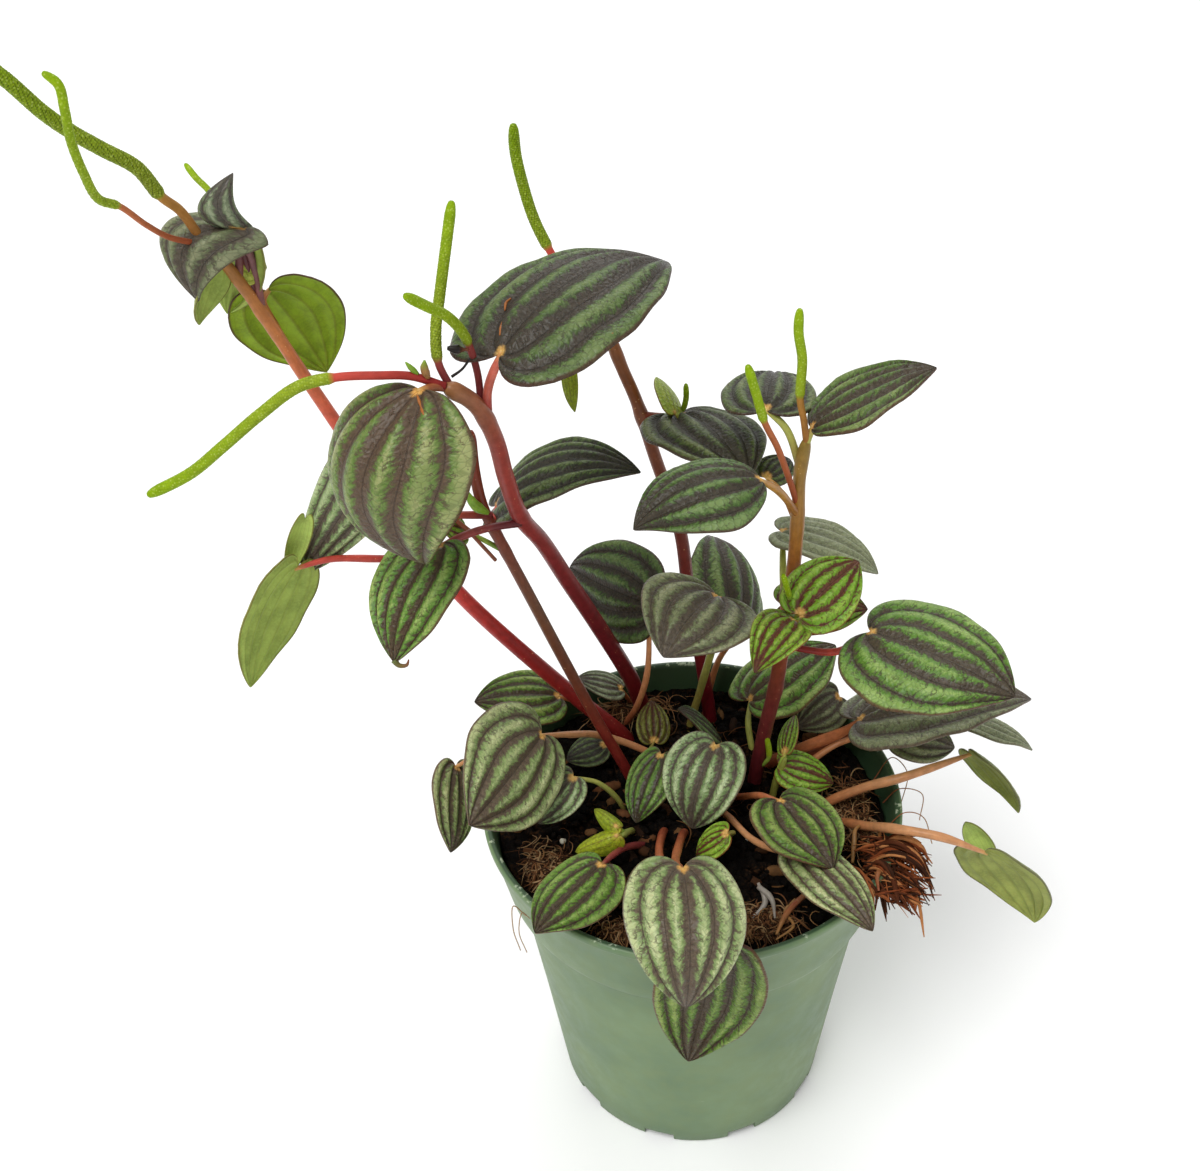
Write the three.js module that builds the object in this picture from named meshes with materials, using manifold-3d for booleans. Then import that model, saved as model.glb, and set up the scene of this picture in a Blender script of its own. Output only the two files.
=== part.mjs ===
// Potted peperomia: a round nursery pot filled with potting mix, five tall flowering stems
// and a rosette of heart-shaped ribbed leaves. Millimetres, +Z up, floor at z = 0.
import * as THREE from "three";
import { mergeVertices } from "three/addons/utils/BufferGeometryUtils.js";
import Module from "manifold-3d";

const wasm = await Module();
wasm.setup();

// ---- Driving dimensions -------------------------------------------------------------------

const POT_HEIGHT = 95;
const POT_SEGMENTS = 40;
const FLOOR_THICKNESS = 2;
const FOOT_RADIUS = 36;
const LIP_RADIUS = 52;
const COLLAR_FOOT_Z = 72;
const SLOT_COUNT = 10;
const SLOT_WIDTH = 8;
const SLOT_INNER_RADIUS = 29;
const SLOT_TOP_Z = 3;

const SOIL_RADIUS = 47.6;
const SOIL_TOP_Z = 89.4;
const SOIL_EDGE_DROP = 1.6;
const SOIL_LUMP = 0.45;
const SOIL_SEGMENTS = 36;
const SOIL_RINGS = 4;
const ROOT_Z = 81;
const GAP = 0.3;
const HOLE_CLEARANCE = 0.45;
const HOLE_REACH = 10;

const BLADE_THICKNESS = 0.8;
const LOBE_DEPTH = 0.8;
const DEFAULT_CUP = 0.1;
const DEFAULT_ARCH = 0.08;
const STALK_IN_BLADE = 0.6;
const DEFAULT_STALK_D = 1.7;
const STALK_TIP_D = 0.8;

const STALK_SIDES = 5;
const STEM_SIDES = 7;
const STEM_PITCH = 13;
const SPIKE_SIDES = 5;
const SPIKE_STALK_RATIO = 0.36;
const SPIKE_TAPER_FROM = 0.9;
const SPIKE_TAPER_LENGTH = 0.105;
const SPIKE_TIP_RATIO = 0.35;
const FLORET_RELIEF = 0.1;
const FLORET_PITCH = 3.5;
const BLADE_CELLS_MIN = 4;
const BLADE_CELLS_MAX = 7;
const BLADE_CELL_LENGTH = 8.2;

// ---- Materials ----------------------------------------------------------------------------

const paint = (color, roughness = 0.6) => ({ color, roughness });
const POT_GREEN = paint(0x78967d, 0.5);
const MIX_BLACK = paint(0x2b211b, 0.95);
const COIR_BROWN = paint(0x7a4a2c, 0.95);
const STEM_RED = paint(0x9a4238, 0.5);
const LEAF_GREEN = paint(0x6f9050, 0.45);
const LEAF_GREY = paint(0x7f9a80, 0.45);
const LEAF_LIME = paint(0x9cc63c, 0.45);

// ---- Rows: places in mm, read off the plant; roll in degrees -------------------------------
// stem: centre line from its foot up; d: diameters from foot to top, spread evenly.
// A leaf has stalk: points before the blade's base; base, tip, width, roll, and if it isn't
// the usual one, cup (edges down), arch (midrib up) or bow (sideways), each over the length,
// or lobe: how far its heart-shaped base reaches back past the stalk.
// A spike has path: centre line, start: the path's point where the florets begin, d: diameter.

const FLOWER_STEMS = {
  flower_stem_1: {
    d: [4.2, 3.9, 3.5, 2.8],
    stem: [[-15, 28, ROOT_Z], [-15, 28, 88], [-28, 27, 105], [-55, 22, 145], [-66, 19, 170],
      [-75, 16, 194], [-81, 14, 210], [-86, 12, 224], [-91, 10, 236], [-94, 8, 242]],
    leaves: [
      { stalk: [[-84, 13, 220], [-86, 14, 226]], base: [-85, 16, 227], tip: [-78, 26, 203],
        width: 23, roll: 45 },
      { stalk: [[-86, 12, 224], [-86, 12, 235]], base: [-87, 10, 243], tip: [-96, 4, 231],
        width: 15, roll: 35, arch: 0.3, bow: 0.33, cup: 0.25 },
      { stalk: [[-86, 12, 224], [-86, 12, 235]], base: [-87, 10, 243], tip: [-86, 10, 254],
        width: 9, roll: -110, arch: 0.2, bow: -0.35, cup: 0.2, d: 1.3 },
      { stalk: [[-89, 11, 232]], base: [-88, 13, 241], tip: [-94, 15, 223], width: 14, roll: -90,
        cup: 0.2 },
      { stalk: [[-60, 21, 156], [-70, 18, 158], [-82, 13, 162]], base: [-89, 10, 162],
        tip: [-101, -5, 140], width: 20, roll: -85, d: 1.8 },
      { stalk: [[-60, 21, 157], [-63, 17, 170], [-64, 13, 182]], base: [-66, 12, 190],
        tip: [-89, 14, 157.5], width: 17, roll: 85, arch: -0.05, cup: 0.3 },
    ],
    spikes: [
      { path: [[-94, 8, 242], [-96, 5, 249], [-98, 2, 253], [-100, -2, 260], [-104, -6, 265],
        [-108, -8, 269], [-111, -10, 273], [-115, -13, 280], [-120, -14, 285], [-125, -14, 288]],
      start: 2, d: 2.6 },
      { path: [[-94, 8, 241], [-98, 2, 245], [-100, -4, 250], [-102, -10, 256], [-104, -14, 259],
        [-104, -18, 265], [-104, -20, 271], [-103, -22, 277], [-103, -22, 281], [-105, -22, 283]],
      start: 3, d: 2 },
      { path: [[-91, 10, 237], [-92, 16, 241], [-93, 18, 247], [-96, 20, 250], [-98, 22, 252]],
        start: 1, d: 1.3 },
    ],
  },
  flower_stem_2: {
    d: [2.8, 2.7, 2.4],
    stem: [[-14, 11, ROOT_Z], [-14, 11, 88], [-23, 10, 113], [-31, 9, 136], [-37, 8, 154],
      [-42, 7, 169], [-45, 6, 179], [-46, 6, 188], [-46, 6, 198]],
    leaves: [
      { stalk: [[-43, 7, 172], [-44, 13, 169]], base: [-43, 22, 169], tip: [-10, 17, 179],
        width: 23, roll: -5, arch: 0.22 },
      { stalk: [[-41, 7, 166], [-46, 8, 169]], base: [-50, 9, 171], tip: [-55, 4, 176], width: 8,
        roll: 45, d: 1.2 },
    ],
    spikes: [],
  },
  flower_stem_3: {
    d: [4.4, 4.2, 3.8, 3.4],
    stem: [[-10, 39, ROOT_Z], [-10, 39, 88], [-13, 35, 103], [-21, 28, 127], [-28, 20, 148],
      [-33, 12, 165], [-37, 6, 176], [-39, 0, 190], [-40, -5, 202], [-42, -9, 211],
      [-44, -11, 215], [-48, -13, 219]],
    leaves: [
      { stalk: [[-47, -12, 218], [-50, -14, 219.5]], base: [-52.5, -16, 220],
        tip: [-55, -21.5, 184], width: 34, roll: -10, arch: 0.35, cup: 0.32, bow: 0.11, lobe: 0.2 },
      { stalk: [[-41, -7, 209], [-40, -10, 217]], base: [-37, -10, 224], tip: [-4, 22, 227],
        width: 38, roll: 2, arch: 0.14, d: 1.9 },
      { stalk: [[-37, 5, 175], [-44, 2, 176], [-49, -2, 177]], base: [-54, -4, 176],
        tip: [-65, -18, 156], width: 23, roll: -4, bow: 0.07, cup: 0.05, d: 1.8 },
    ],
    spikes: [
      { path: [[-48, -13, 219], [-54, -14, 222], [-60, -15, 223], [-68, -15, 223],
        [-75, -16, 222], [-83, -17, 217], [-91, -18, 211], [-98, -19, 206], [-107, -20, 202]],
      start: 3, d: 2.3 },
      { path: [[-47, -12, 218], [-49, -11, 223], [-49, -9, 229], [-48, -7, 234], [-46, -6, 243],
        [-44, -4, 252]], start: 3, d: 2.1 },
      { path: [[-42, -9, 211], [-42, -8, 218], [-43, -10, 226], [-44, -12, 230], [-46, -16, 235],
        [-49, -20, 239], [-52, -24, 243]], start: 2, d: 2 },
    ],
  },
  flower_stem_4: {
    d: [3.6, 3.3, 2.8],
    stem: [[8, 34, ROOT_Z], [8, 34, 88], [5, 34, 113], [2, 34, 133], [0, 34, 151], [-6, 34, 173],
      [-10, 34, 188], [-13, 35, 196], [-16, 36, 205]],
    leaves: [
      { stalk: [[-9, 34, 184], [-4, 31, 185]], base: [0, 28, 187], tip: [12, 0, 187], width: 26,
        roll: 5, arch: 0.1, d: 2 },
      { stalk: [[-4, 31, 185]], base: [-2, 24, 190], tip: [-5, 37, 192], width: 8, roll: -40,
        d: 1.4 },
      { stalk: [[-14, 35.5, 199], [-19, 33, 206], [-23, 28, 206]], base: [-25, 25, 203],
        tip: [-24, 20, 193.5], width: 4, roll: -35, d: 1.2 },
    ],
    spikes: [
      { path: [[-16, 36, 204], [-23, 38, 214], [-28, 40, 223], [-31, 41, 230], [-33, 42, 238],
        [-34, 43, 244], [-34, 43, 250]], start: 2, d: 2.4 },
      { path: [[-4, 31, 185], [0, 28, 188], [1, 28, 191], [1, 28, 195]], start: 1, d: 1.3 },
    ],
  },
  flower_stem_5: {
    d: [3.6, 3.4, 3.1, 2.6, 2.1],
    stem: [[17, 9, ROOT_Z], [17, 9, 88], [19, 7, 109], [21, 5, 126], [22, 3, 146], [23, 2, 161],
      [23, 0, 178], [23, 0, 188], [24, 0, 196]],
    leaves: [
      { stalk: [[23, 0, 189], [20, 3, 197]], base: [16, 6, 200], tip: [21, 29, 196], width: 20,
        roll: 0 },
      { stalk: [[23, 0, 192]], base: [25, 0, 198.5], tip: [50, 2, 210], width: 26, roll: 8,
        arch: 0.06, cup: 0.02, lobe: 0.25 },
      { stalk: [[23, 0, 177], [18, -6, 187]], base: [13, -12, 194], tip: [-13, -19, 188],
        width: 23, roll: 4, arch: 0.19, cup: 0.2, lobe: 0.15 },
      { stalk: [[23, 1, 174], [20, 5, 180]], base: [17, 8, 182], tip: [23, 15, 182], width: 8,
        roll: -20, d: 1.2 },
      { stalk: [[22, 3, 144], [23, 16, 150]], base: [24, 26, 155], tip: [46, 18, 147], width: 24,
        roll: 13, arch: 0.12, cup: 0.05 },
      { stalk: [[22, 3, 146], [22, -4, 152]], base: [23, -10, 158], tip: [37, 0, 164], width: 16,
        roll: -25 },
      { stalk: [[22, 3, 146], [22, -4, 152]], base: [21.5, -10, 156], tip: [12, -21, 151],
        width: 12, roll: 14, arch: 0.35, cup: 0.06 },
      { stalk: [[22, 4, 138], [26, 1, 139], [33, -3, 141]], base: [40, -6, 148.5],
        tip: [67, -27, 146], width: 34, roll: -8, arch: 0.05 },
      { stalk: [[21, 5, 124], [23, 16, 128]], base: [25, 26, 133], tip: [46, 25, 131], width: 18,
        roll: -15 },
    ],
    spikes: [
      { path: [[23, 0, 179], [20, -3, 189], [17, -6, 198], [14, -8, 205], [12, -9, 212],
        [10, -10, 219]], start: 3, d: 1.9 },
      { path: [[24, 0, 195], [23, -1, 201], [22, -1, 206], [22, -1, 215], [21, -1, 221],
        [21, -1, 226]], start: 2, d: 2 },
      { path: [[22, 3, 148], [22, -5, 153], [21, -7, 160], [19, -9, 168]], start: 2, d: 1.3 },
      { path: [[18, 8, 95], [20, 6, 100], [20, 6, 103], [19, 6, 108]], start: 1, d: 1.5 },
    ],
  },
};

const ROSETTE_LEAVES = {
  leaf_right_1: { stalk: [[20, 14, ROOT_Z], [20, 14, 89], [29, 13, 96], [39, 11, 103]],
    base: [43, 8, 110], tip: [85, 9, 113], width: 35, roll: 15, arch: 0.12, d: 3 },
  leaf_right_2: { stalk: [[27, 9, ROOT_Z], [27, 9, 89], [38, 11, 99]], base: [53, 14, 100],
    tip: [69, 13, 94], width: 15, roll: -20 },
  leaf_right_3: { grey: true, stalk: [[29, 15, ROOT_Z], [29, 15, 88], [36, 15, 94], [45, 18, 99],
    [57, 23, 101]],
    base: [72, 25, 95], tip: [91, 17, 88], width: 19, roll: 25, d: 2.6 },
  leaf_right_4: { stalk: [[33, -1, ROOT_Z], [33, -1, 89], [42, -4, 98], [51, -6, 103]],
    base: [69, 0, 104], tip: [80, -9, 92], width: 16, roll: 60, d: 2.4 },
  leaf_right_5: { stalk: [[36, -6, ROOT_Z], [36, -6, 88], [42, -14, 95], [47, -22, 102],
    [56, -26, 103]], base: [67, -26, 97], tip: [81, -29, 75], width: 22, roll: 60, d: 2.4 },
  leaf_back_1: { stalk: [[-15, 34, ROOT_Z], [-15, 34, 88], [-12, 30, 98], [-9, 28, 112]],
    base: [-8, 34, 129], tip: [-28, 56, 126], width: 26, roll: 60, d: 1.7 },
  leaf_back_2: { stalk: [[8, 42, ROOT_Z], [8, 42, 89], [11, 44, 101], [17, 44, 112]],
    base: [16, 40, 118], tip: [11, 67, 126], width: 28, roll: -41, arch: 0.18, cup: 0.25 },
  leaf_back_3: { stalk: [[18, 20, ROOT_Z], [18, 20, 88], [17, 24, 96]], base: [18, 28, 100.5],
    tip: [42, 41, 107], width: 29, roll: 14 },
  leaf_back_4: { stalk: [[36, 24, ROOT_Z], [36, 24, 89], [41, 26, 96]], base: [41, 28, 100],
    tip: [29, 20, 97], width: 13, roll: 40, d: 1.5 },
  leaf_centre_1: { grey: true, stalk: [[2, 31, ROOT_Z], [2, 31, 88], [5, 28, 106], [7, 18, 129]],
    base: [6, 4, 153], tip: [-7, -12, 149], width: 28, roll: 9, arch: 0.17, cup: 0.02, d: 2 },
  leaf_centre_2: { stalk: [[8, 12, ROOT_Z], [8, 12, 89], [8, 8, 101]], base: [6, 0, 110.5],
    tip: [-0.5, -11, 94], width: 21, roll: -4, arch: 0.18, cup: 0.02 },
  leaf_centre_3: { stalk: [[-3, 12, ROOT_Z], [-3, 12, 89], [-4, 10, 98]], base: [-7, 6, 102.5],
    tip: [-14, -6, 91.5], width: 15, roll: -20, d: 1.5 },
  leaf_centre_4: { stalk: [[12, 18, ROOT_Z], [12, 18, 88]], base: [9, 18, 95],
    tip: [-2, 17, 108], width: 12, roll: -5, d: 1.5 },
  leaf_centre_5: { stalk: [[9, -9, ROOT_Z], [9, -9, 88], [9, -15, 96]], base: [7, -19, 100],
    tip: [0, -18, 92], width: 9, roll: 15, d: 1.3 },
  leaf_centre_6: { stalk: [[-10, 21, ROOT_Z], [-10, 21, 87]], base: [-8, 22, 93],
    tip: [-8, 31, 99], width: 9, roll: -5, d: 1.2 },
  leaf_left_1: { stalk: [[-3, 16, ROOT_Z], [-3, 16, 88], [-12, 15, 97], [-22, 14, 103],
    [-30, 5, 112]], base: [-36, -2, 118.5], tip: [-52, -29, 117], width: 28, roll: 53,
    arch: 0.03, cup: 0.12, d: 1.9 },
  leaf_left_2: { stalk: [[-22, 35, ROOT_Z], [-22, 35, 88], [-26, 35, 95]], base: [-33, 34, 99.5],
    tip: [-55, 32, 100.5], width: 19, roll: 10 },
  leaf_left_3: { stalk: [[-38, 11, ROOT_Z], [-38, 11, 88], [-43, 11, 99], [-51, 11, 102]],
    base: [-59, 10, 98], tip: [-61, -5, 83], width: 18, roll: 65 },
  leaf_left_4: { stalk: [[-17, 2, ROOT_Z], [-17, 2, 89], [-23, -1, 101]], base: [-29, -3, 105],
    tip: [-38, -9, 96], width: 12, roll: 15, d: 1.4 },
  leaf_left_5: { stalk: [[-16, 20, ROOT_Z], [-16, 20, 88]], base: [-21, 18, 96],
    tip: [-31, 17, 92], width: 10, roll: 15, d: 1.3 },
  leaf_left_6: { grey: true, stalk: [[-13, 43, ROOT_Z], [-13, 43, 87]], base: [-16, 40, 96],
    tip: [-28, 40, 100], width: 10, roll: 5, d: 1.3 },
  leaf_front_1: { stalk: [[-11, -10, ROOT_Z], [-11, -10, 87], [-16, -16, 94], [-20, -24, 100]],
    base: [-23, -31, 104], tip: [-38, -48, 102], width: 18, roll: 0, arch: 0.04, cup: 0.16 },
  leaf_front_2: { stalk: [[-2, -8, ROOT_Z], [-2, -8, 89], [-3, -13, 94], [-6, -32, 106]],
    base: [-6, -55, 128], tip: [-7, -76, 111], width: 24, roll: 6, arch: 0.34, cup: 0.3, d: 2 },
  leaf_front_3: { stalk: [[-7, -7, ROOT_Z], [-7, -7, 89], [-8, -12, 93], [-9, -26, 99],
    [-2, -46, 104]], base: [2, -57, 105], tip: [-5, -57, 66], width: 25, roll: 80,
    arch: -0.05, cup: -0.12, d: 2 },
  leaf_front_4: { stalk: [[11, 4, ROOT_Z], [11, 4, 88], [13, -3, 96], [16, -12, 105]],
    base: [19, -20, 111], tip: [29, -36, 105], width: 26, roll: 18, arch: 0.02, cup: 0.02 },
  leaf_front_5: { stalk: [[7, -1, ROOT_Z], [7, -1, 89], [9, -7, 93], [13, -17, 96],
    [18, -25, 100]], base: [22.5, -30, 104.5], tip: [36, -50, 100], width: 16, roll: 8 },
};

// Short side shoots: a stub with young leaves on it.
const SHOOTS = {
  shoot_right: {
    d: [2, 1.6],
    stem: [[21, 3, ROOT_Z], [21, 3, 89], [22, 3, 96], [24, 4, 102]],
    leaves: [
      { stalk: [[22, 3, 94]], base: [23, 4, 99], tip: [36, 2, 94], width: 12, roll: -15, d: 1.4 },
      { stalk: [[22, 3, 97]], base: [24, 5, 103], tip: [28, 16, 105], width: 6, roll: 35, d: 1.4 },
    ],
    spikes: [],
  },
  shoot_left: {
    d: [1.8, 1.4],
    stem: [[-15, -6, ROOT_Z], [-15, -6, 88], [-16, -13, 96], [-18, -18, 100]],
    leaves: [
      { stalk: [[-17, -16, 98]], base: [-19, -19, 101], tip: [-29, -18, 95], width: 7, roll: 35,
        d: 1.3 },
      { stalk: [[-17, -16, 98]], base: [-19, -17, 102], tip: [-24, -11, 102], width: 5, roll: 20,
        d: 1.3 },
    ],
    spikes: [],
  },
};

// Loose coir: middle of each tuft, how far it spreads, and how many fibres cross in it.
const COIR = {
  coir_left: { middle: [-36, -19, 0], reach: [8, 7], fibres: 3, seed: 1 },
  coir_front: { middle: [15, -37, 0], reach: [8, 5], fibres: 3, seed: 3 },
  coir_over_rim: { middle: [48, -29, 96], reach: [7, 7], fibres: 3, seed: 5 },
};
const COIR_FIBRE_RADIUS = 0.4;
const COIR_LIFT = 0.5;

// ---- Solids -------------------------------------------------------------------------------

const solid = (positions, faces) =>
  new wasm.Manifold(
    new wasm.Mesh({
      numProp: 3,
      vertProperties: Float32Array.from(positions.flat()),
      triVerts: Uint32Array.from(faces.flat()),
    }),
  );

function solidOf(geometry) {
  const bare = geometry.clone().deleteAttribute("normal").deleteAttribute("uv");
  const merged = mergeVertices(bare, 1e-4);
  return new wasm.Manifold(
    new wasm.Mesh({
      numProp: 3,
      vertProperties: merged.attributes.position.array,
      triVerts: new Uint32Array(merged.index.array),
    }),
  );
}

function meshOf(name, body, { color, roughness }) {
  const { vertProperties, triVerts, numProp } = body.getMesh();
  if (numProp !== 3) throw new Error(name + " carries extra properties");
  const geometry = new THREE.BufferGeometry();
  geometry.setAttribute("position", new THREE.BufferAttribute(vertProperties, 3));
  geometry.setIndex(new THREE.BufferAttribute(triVerts, 1));
  geometry.computeVertexNormals();
  const mesh = new THREE.Mesh(geometry, new THREE.MeshStandardMaterial({ color, roughness }));
  mesh.name = name;
  return mesh;
}

const vec = (p) => new THREE.Vector3(...p);
const lineThrough = (points) =>
  new THREE.CatmullRomCurve3(points.map(vec), false, "centripetal");

// The same for a rooted line, kept upright in the mix by a point between its first two.
function rootedLine(points) {
  const [foot, second] = points;
  if (foot[2] !== ROOT_Z) return lineThrough(points);
  return lineThrough([foot, foot.map((c, i) => (c + second[i]) / 2), ...points.slice(1)]);
}

// A closed tube along a curve cut into segments, up to its given ring, with its foot sunk a
// little deeper if asked. radiusAt(t, side, ring) gives the radius round each ring.
function tube(curve, radiusAt, sides, segments, rings = segments, sink = 0) {
  const frames = curve.computeFrenetFrames(segments);
  const positions = [];
  const centreOf = (ring) => {
    const centre = curve.getPointAt(ring / segments);
    if (ring === 0) centre.z -= sink;
    return centre;
  };
  for (let ring = 0; ring <= rings; ring++) {
    const t = ring / segments;
    const centre = centreOf(ring);
    for (let side = 0; side < sides; side++) {
      const turn = (side / sides) * 2 * Math.PI;
      const point = centre
        .clone()
        .addScaledVector(frames.normals[ring], radiusAt(t, side, ring) * Math.cos(turn))
        .addScaledVector(frames.binormals[ring], radiusAt(t, side, ring) * Math.sin(turn));
      positions.push(point.toArray());
    }
  }
  const foot = positions.push(centreOf(0).toArray()) - 1;
  const head = positions.push(centreOf(rings).toArray()) - 1;
  const faces = [];
  for (let side = 0; side < sides; side++) {
    const next = (side + 1) % sides;
    for (let ring = 0; ring < rings; ring++) {
      const a = ring * sides + side;
      const b = ring * sides + next;
      faces.push([a, b, b + sides], [a, b + sides, a + sides]);
    }
    faces.push([foot, next, side]);
    faces.push([head, rings * sides + side, rings * sides + next]);
  }
  return solid(positions, faces);
}

function tapered(diameters) {
  const last = diameters.length - 1;
  return (t) => {
    const k = Math.min(Math.floor(t * last), last - 1);
    return THREE.MathUtils.lerp(diameters[k], diameters[k + 1], t * last - k) / 2;
  };
}

// The blade's own axes: along it, across it, and out of its upper face.
function bladeFrame({ base, tip, roll }) {
  const along = vec(tip).sub(vec(base));
  const length = along.length();
  along.normalize();
  const level = new THREE.Vector3().crossVectors(along, new THREE.Vector3(0, 0, 1)).normalize();
  const up = new THREE.Vector3().crossVectors(level, along);
  const turn = THREE.MathUtils.degToRad(roll);
  const across = level.clone().multiplyScalar(Math.cos(turn)).addScaledVector(up, Math.sin(turn));
  const out = level.clone().multiplyScalar(-Math.sin(turn)).addScaledVector(up, Math.cos(turn));
  return { along, across, out, length };
}

// The middle of a heart-shaped blade at (u, v): u from edge to edge, -1 to 1; v from base to tip.
function bladePoint(row, frame, u, v) {
  const { width, cup = DEFAULT_CUP, arch = DEFAULT_ARCH, bow = 0, lobe = LOBE_DEPTH } = row;
  const { along, across, out, length } = frame;
  const t = v * v * (3 - 2 * v);
  const half = t > 0 && t < 1 ? 0.5 * Math.sin(Math.PI * t ** 0.8) ** 0.8 : 0;
  const side = u * width * half;
  const s = t - lobe * Math.abs(u) ** 1.6 * Math.sqrt(t) * (1 - t) ** 3;
  const rise = s > 0 ? 4 * s * (1 - s) : 2.4 * s;
  const lift = arch * length * rise - cup * width * (2 * u * half) ** 2;
  return vec(row.base)
    .addScaledVector(along, length * s)
    .addScaledVector(across, side + bow * length * Math.max(rise, 0))
    .addScaledVector(out, lift);
}

function blade(row) {
  const frame = bladeFrame(row);
  const { arch = DEFAULT_ARCH } = row;
  const cells = Math.round(1.6 + (frame.length * (1 + arch)) / BLADE_CELL_LENGTH);
  const across = THREE.MathUtils.clamp(cells, BLADE_CELLS_MIN, BLADE_CELLS_MAX);
  const rows = Math.max(BLADE_CELLS_MIN, across - 1);
  const middle = [vec(row.base)];
  for (let i = 1; i < rows; i++)
    for (let j = 0; j <= across; j++)
      middle.push(bladePoint(row, frame, (2 * j) / across - 1, i / rows));
  middle.push(vec(row.tip));
  const tip = middle.length - 1;
  const at = (i, j) => (i === 0 ? 0 : i === rows ? tip : 1 + (i - 1) * (across + 1) + j);
  const upper = [];
  for (let i = 0; i < rows; i++)
    for (let j = 0; j < across; j++) {
      if (i > 0) upper.push([at(i, j), at(i, j + 1), at(i + 1, j)]);
      if (i < rows - 1) upper.push([at(i, j + 1), at(i + 1, j + 1), at(i + 1, j)]);
    }
  const normals = middle.map(() => new THREE.Vector3());
  for (const face of upper) {
    const [a, b, c] = face.map((k) => middle[k]);
    const normal = b.clone().sub(a).cross(c.clone().sub(a));
    face.forEach((k) => normals[k].add(normal));
  }
  const faceOut = normals.reduce((sum, n) => sum + n.dot(frame.out), 0) > 0;
  const shift = (k, sign) =>
    middle[k].clone().addScaledVector(normals[k].clone().normalize(),
      (sign * (faceOut ? 1 : -1) * BLADE_THICKNESS) / 2).toArray();
  const count = middle.length;
  const positions = [
    ...middle.map((_, k) => shift(k, 1)),
    ...middle.map((_, k) => shift(k, -1)),
  ];
  const faces = [];
  for (const [a, b, c] of upper) faces.push([a, b, c], [c + count, b + count, a + count]);
  for (let i = 0; i < rows; i++) {
    const [a, b] = [at(i, 0), at(i + 1, 0)];
    faces.push([a, b, b + count], [a, b + count, a + count]);
    const [c, d] = [at(i, across), at(i + 1, across)];
    faces.push([d, c, c + count], [d, c + count, d + count]);
  }
  const turned = faceOut ? faces : faces.map(([a, b, c]) => [a, c, b]);
  const body = solid(positions, turned);
  return body.volume() > 0 ? body : solid(positions, turned.map(([a, b, c]) => [a, c, b]));
}

// A leaf's stalk ends just past its blade's base, so that it is well sunk in the blade.
function stalkCurve({ stalk, base }) {
  const arrive = vec(base).sub(vec(stalk.at(-1))).normalize();
  const end = vec(base).addScaledVector(arrive, STALK_IN_BLADE);
  return rootedLine([...stalk, end.toArray()]);
}

const stalkRadius = (row) => {
  const d = row.d ?? DEFAULT_STALK_D;
  return tapered([d, d, d, 0.9 * d, STALK_TIP_D]);
};
const stalkSegments = (row) => 1 + row.stalk.length;

const leaf = (row) => [
  tube(stalkCurve(row), stalkRadius(row), STALK_SIDES, stalkSegments(row)),
  blade(row),
];

// A flower spike: a smooth stalk, then florets as a checkered relief, then a blunt tip.
function spike({ path, start, d }) {
  const curve = lineThrough(path);
  const length = curve.getLength();
  const from = lineThrough(path.slice(0, start + 1)).getLength() / length;
  const segments = Math.round(length / FLORET_PITCH);
  const radiusAt = (t, side, ring) => {
    if (t < from) return SPIKE_STALK_RATIO * d;
    const past = Math.max(0, (t - SPIKE_TAPER_FROM) / SPIKE_TAPER_LENGTH);
    const end = Math.max(Math.sqrt(Math.max(0, 1 - past ** 2)), SPIKE_TIP_RATIO);
    const relief = (ring + side) % 2 ? FLORET_RELIEF : -FLORET_RELIEF;
    return (d / 2) * (1 + relief) * end;
  };
  return tube(curve, radiusAt, SPIKE_SIDES, segments);
}

const stemSegments = (row) => Math.round(rootedLine(row.stem).getLength() / STEM_PITCH) + 2;

const branched = (row) =>
  wasm.Manifold.union([
    tube(rootedLine(row.stem), tapered(row.d), STEM_SIDES, stemSegments(row)),
    ...row.leaves.flatMap(leaf),
    ...row.spikes.map(spike),
  ]);

// ---- Pot and potting mix ------------------------------------------------------------------

function pot() {
  const profile = [
    [0, 0], [35.5, 0], [FOOT_RADIUS, 0.8], [45.2, COLLAR_FOOT_Z], [47.8, COLLAR_FOOT_Z + 2.2],
    [51.6, 92.5], [LIP_RADIUS, 93.2], [LIP_RADIUS, 94.6], [51.4, POT_HEIGHT],
    [50.6, POT_HEIGHT], [50.3, 94], [46.6, COLLAR_FOOT_Z + 3.2], [44, COLLAR_FOOT_Z + 1],
    [34.6, FLOOR_THICKNESS], [0, FLOOR_THICKNESS],
  ];
  const shell = solidOf(
    new THREE.LatheGeometry(profile.map(([r, z]) => new THREE.Vector2(r, z)), POT_SEGMENTS)
      .rotateX(Math.PI / 2),
  );
  const slots = [];
  for (let i = 0; i < SLOT_COUNT; i++) {
    const depth = FOOT_RADIUS + 4 - SLOT_INNER_RADIUS;
    slots.push(solidOf(
      new THREE.BoxGeometry(depth, SLOT_WIDTH, SLOT_TOP_Z + 1)
        .translate(SLOT_INNER_RADIUS + depth / 2, 0, (SLOT_TOP_Z - 1) / 2)
        .rotateZ((i / SLOT_COUNT) * 2 * Math.PI),
    ));
  }
  return shell.subtract(wasm.Manifold.union(slots));
}

function soilTop(x, y) {
  const r = Math.hypot(x, y) / SOIL_RADIUS;
  return SOIL_TOP_Z - SOIL_EDGE_DROP * r * r
    + SOIL_LUMP * Math.sin(0.45 * x + 1.1) * Math.cos(0.38 * y - 0.4)
    + SOIL_LUMP * 0.6 * Math.sin(0.9 * y + 0.5 * x);
}

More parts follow.
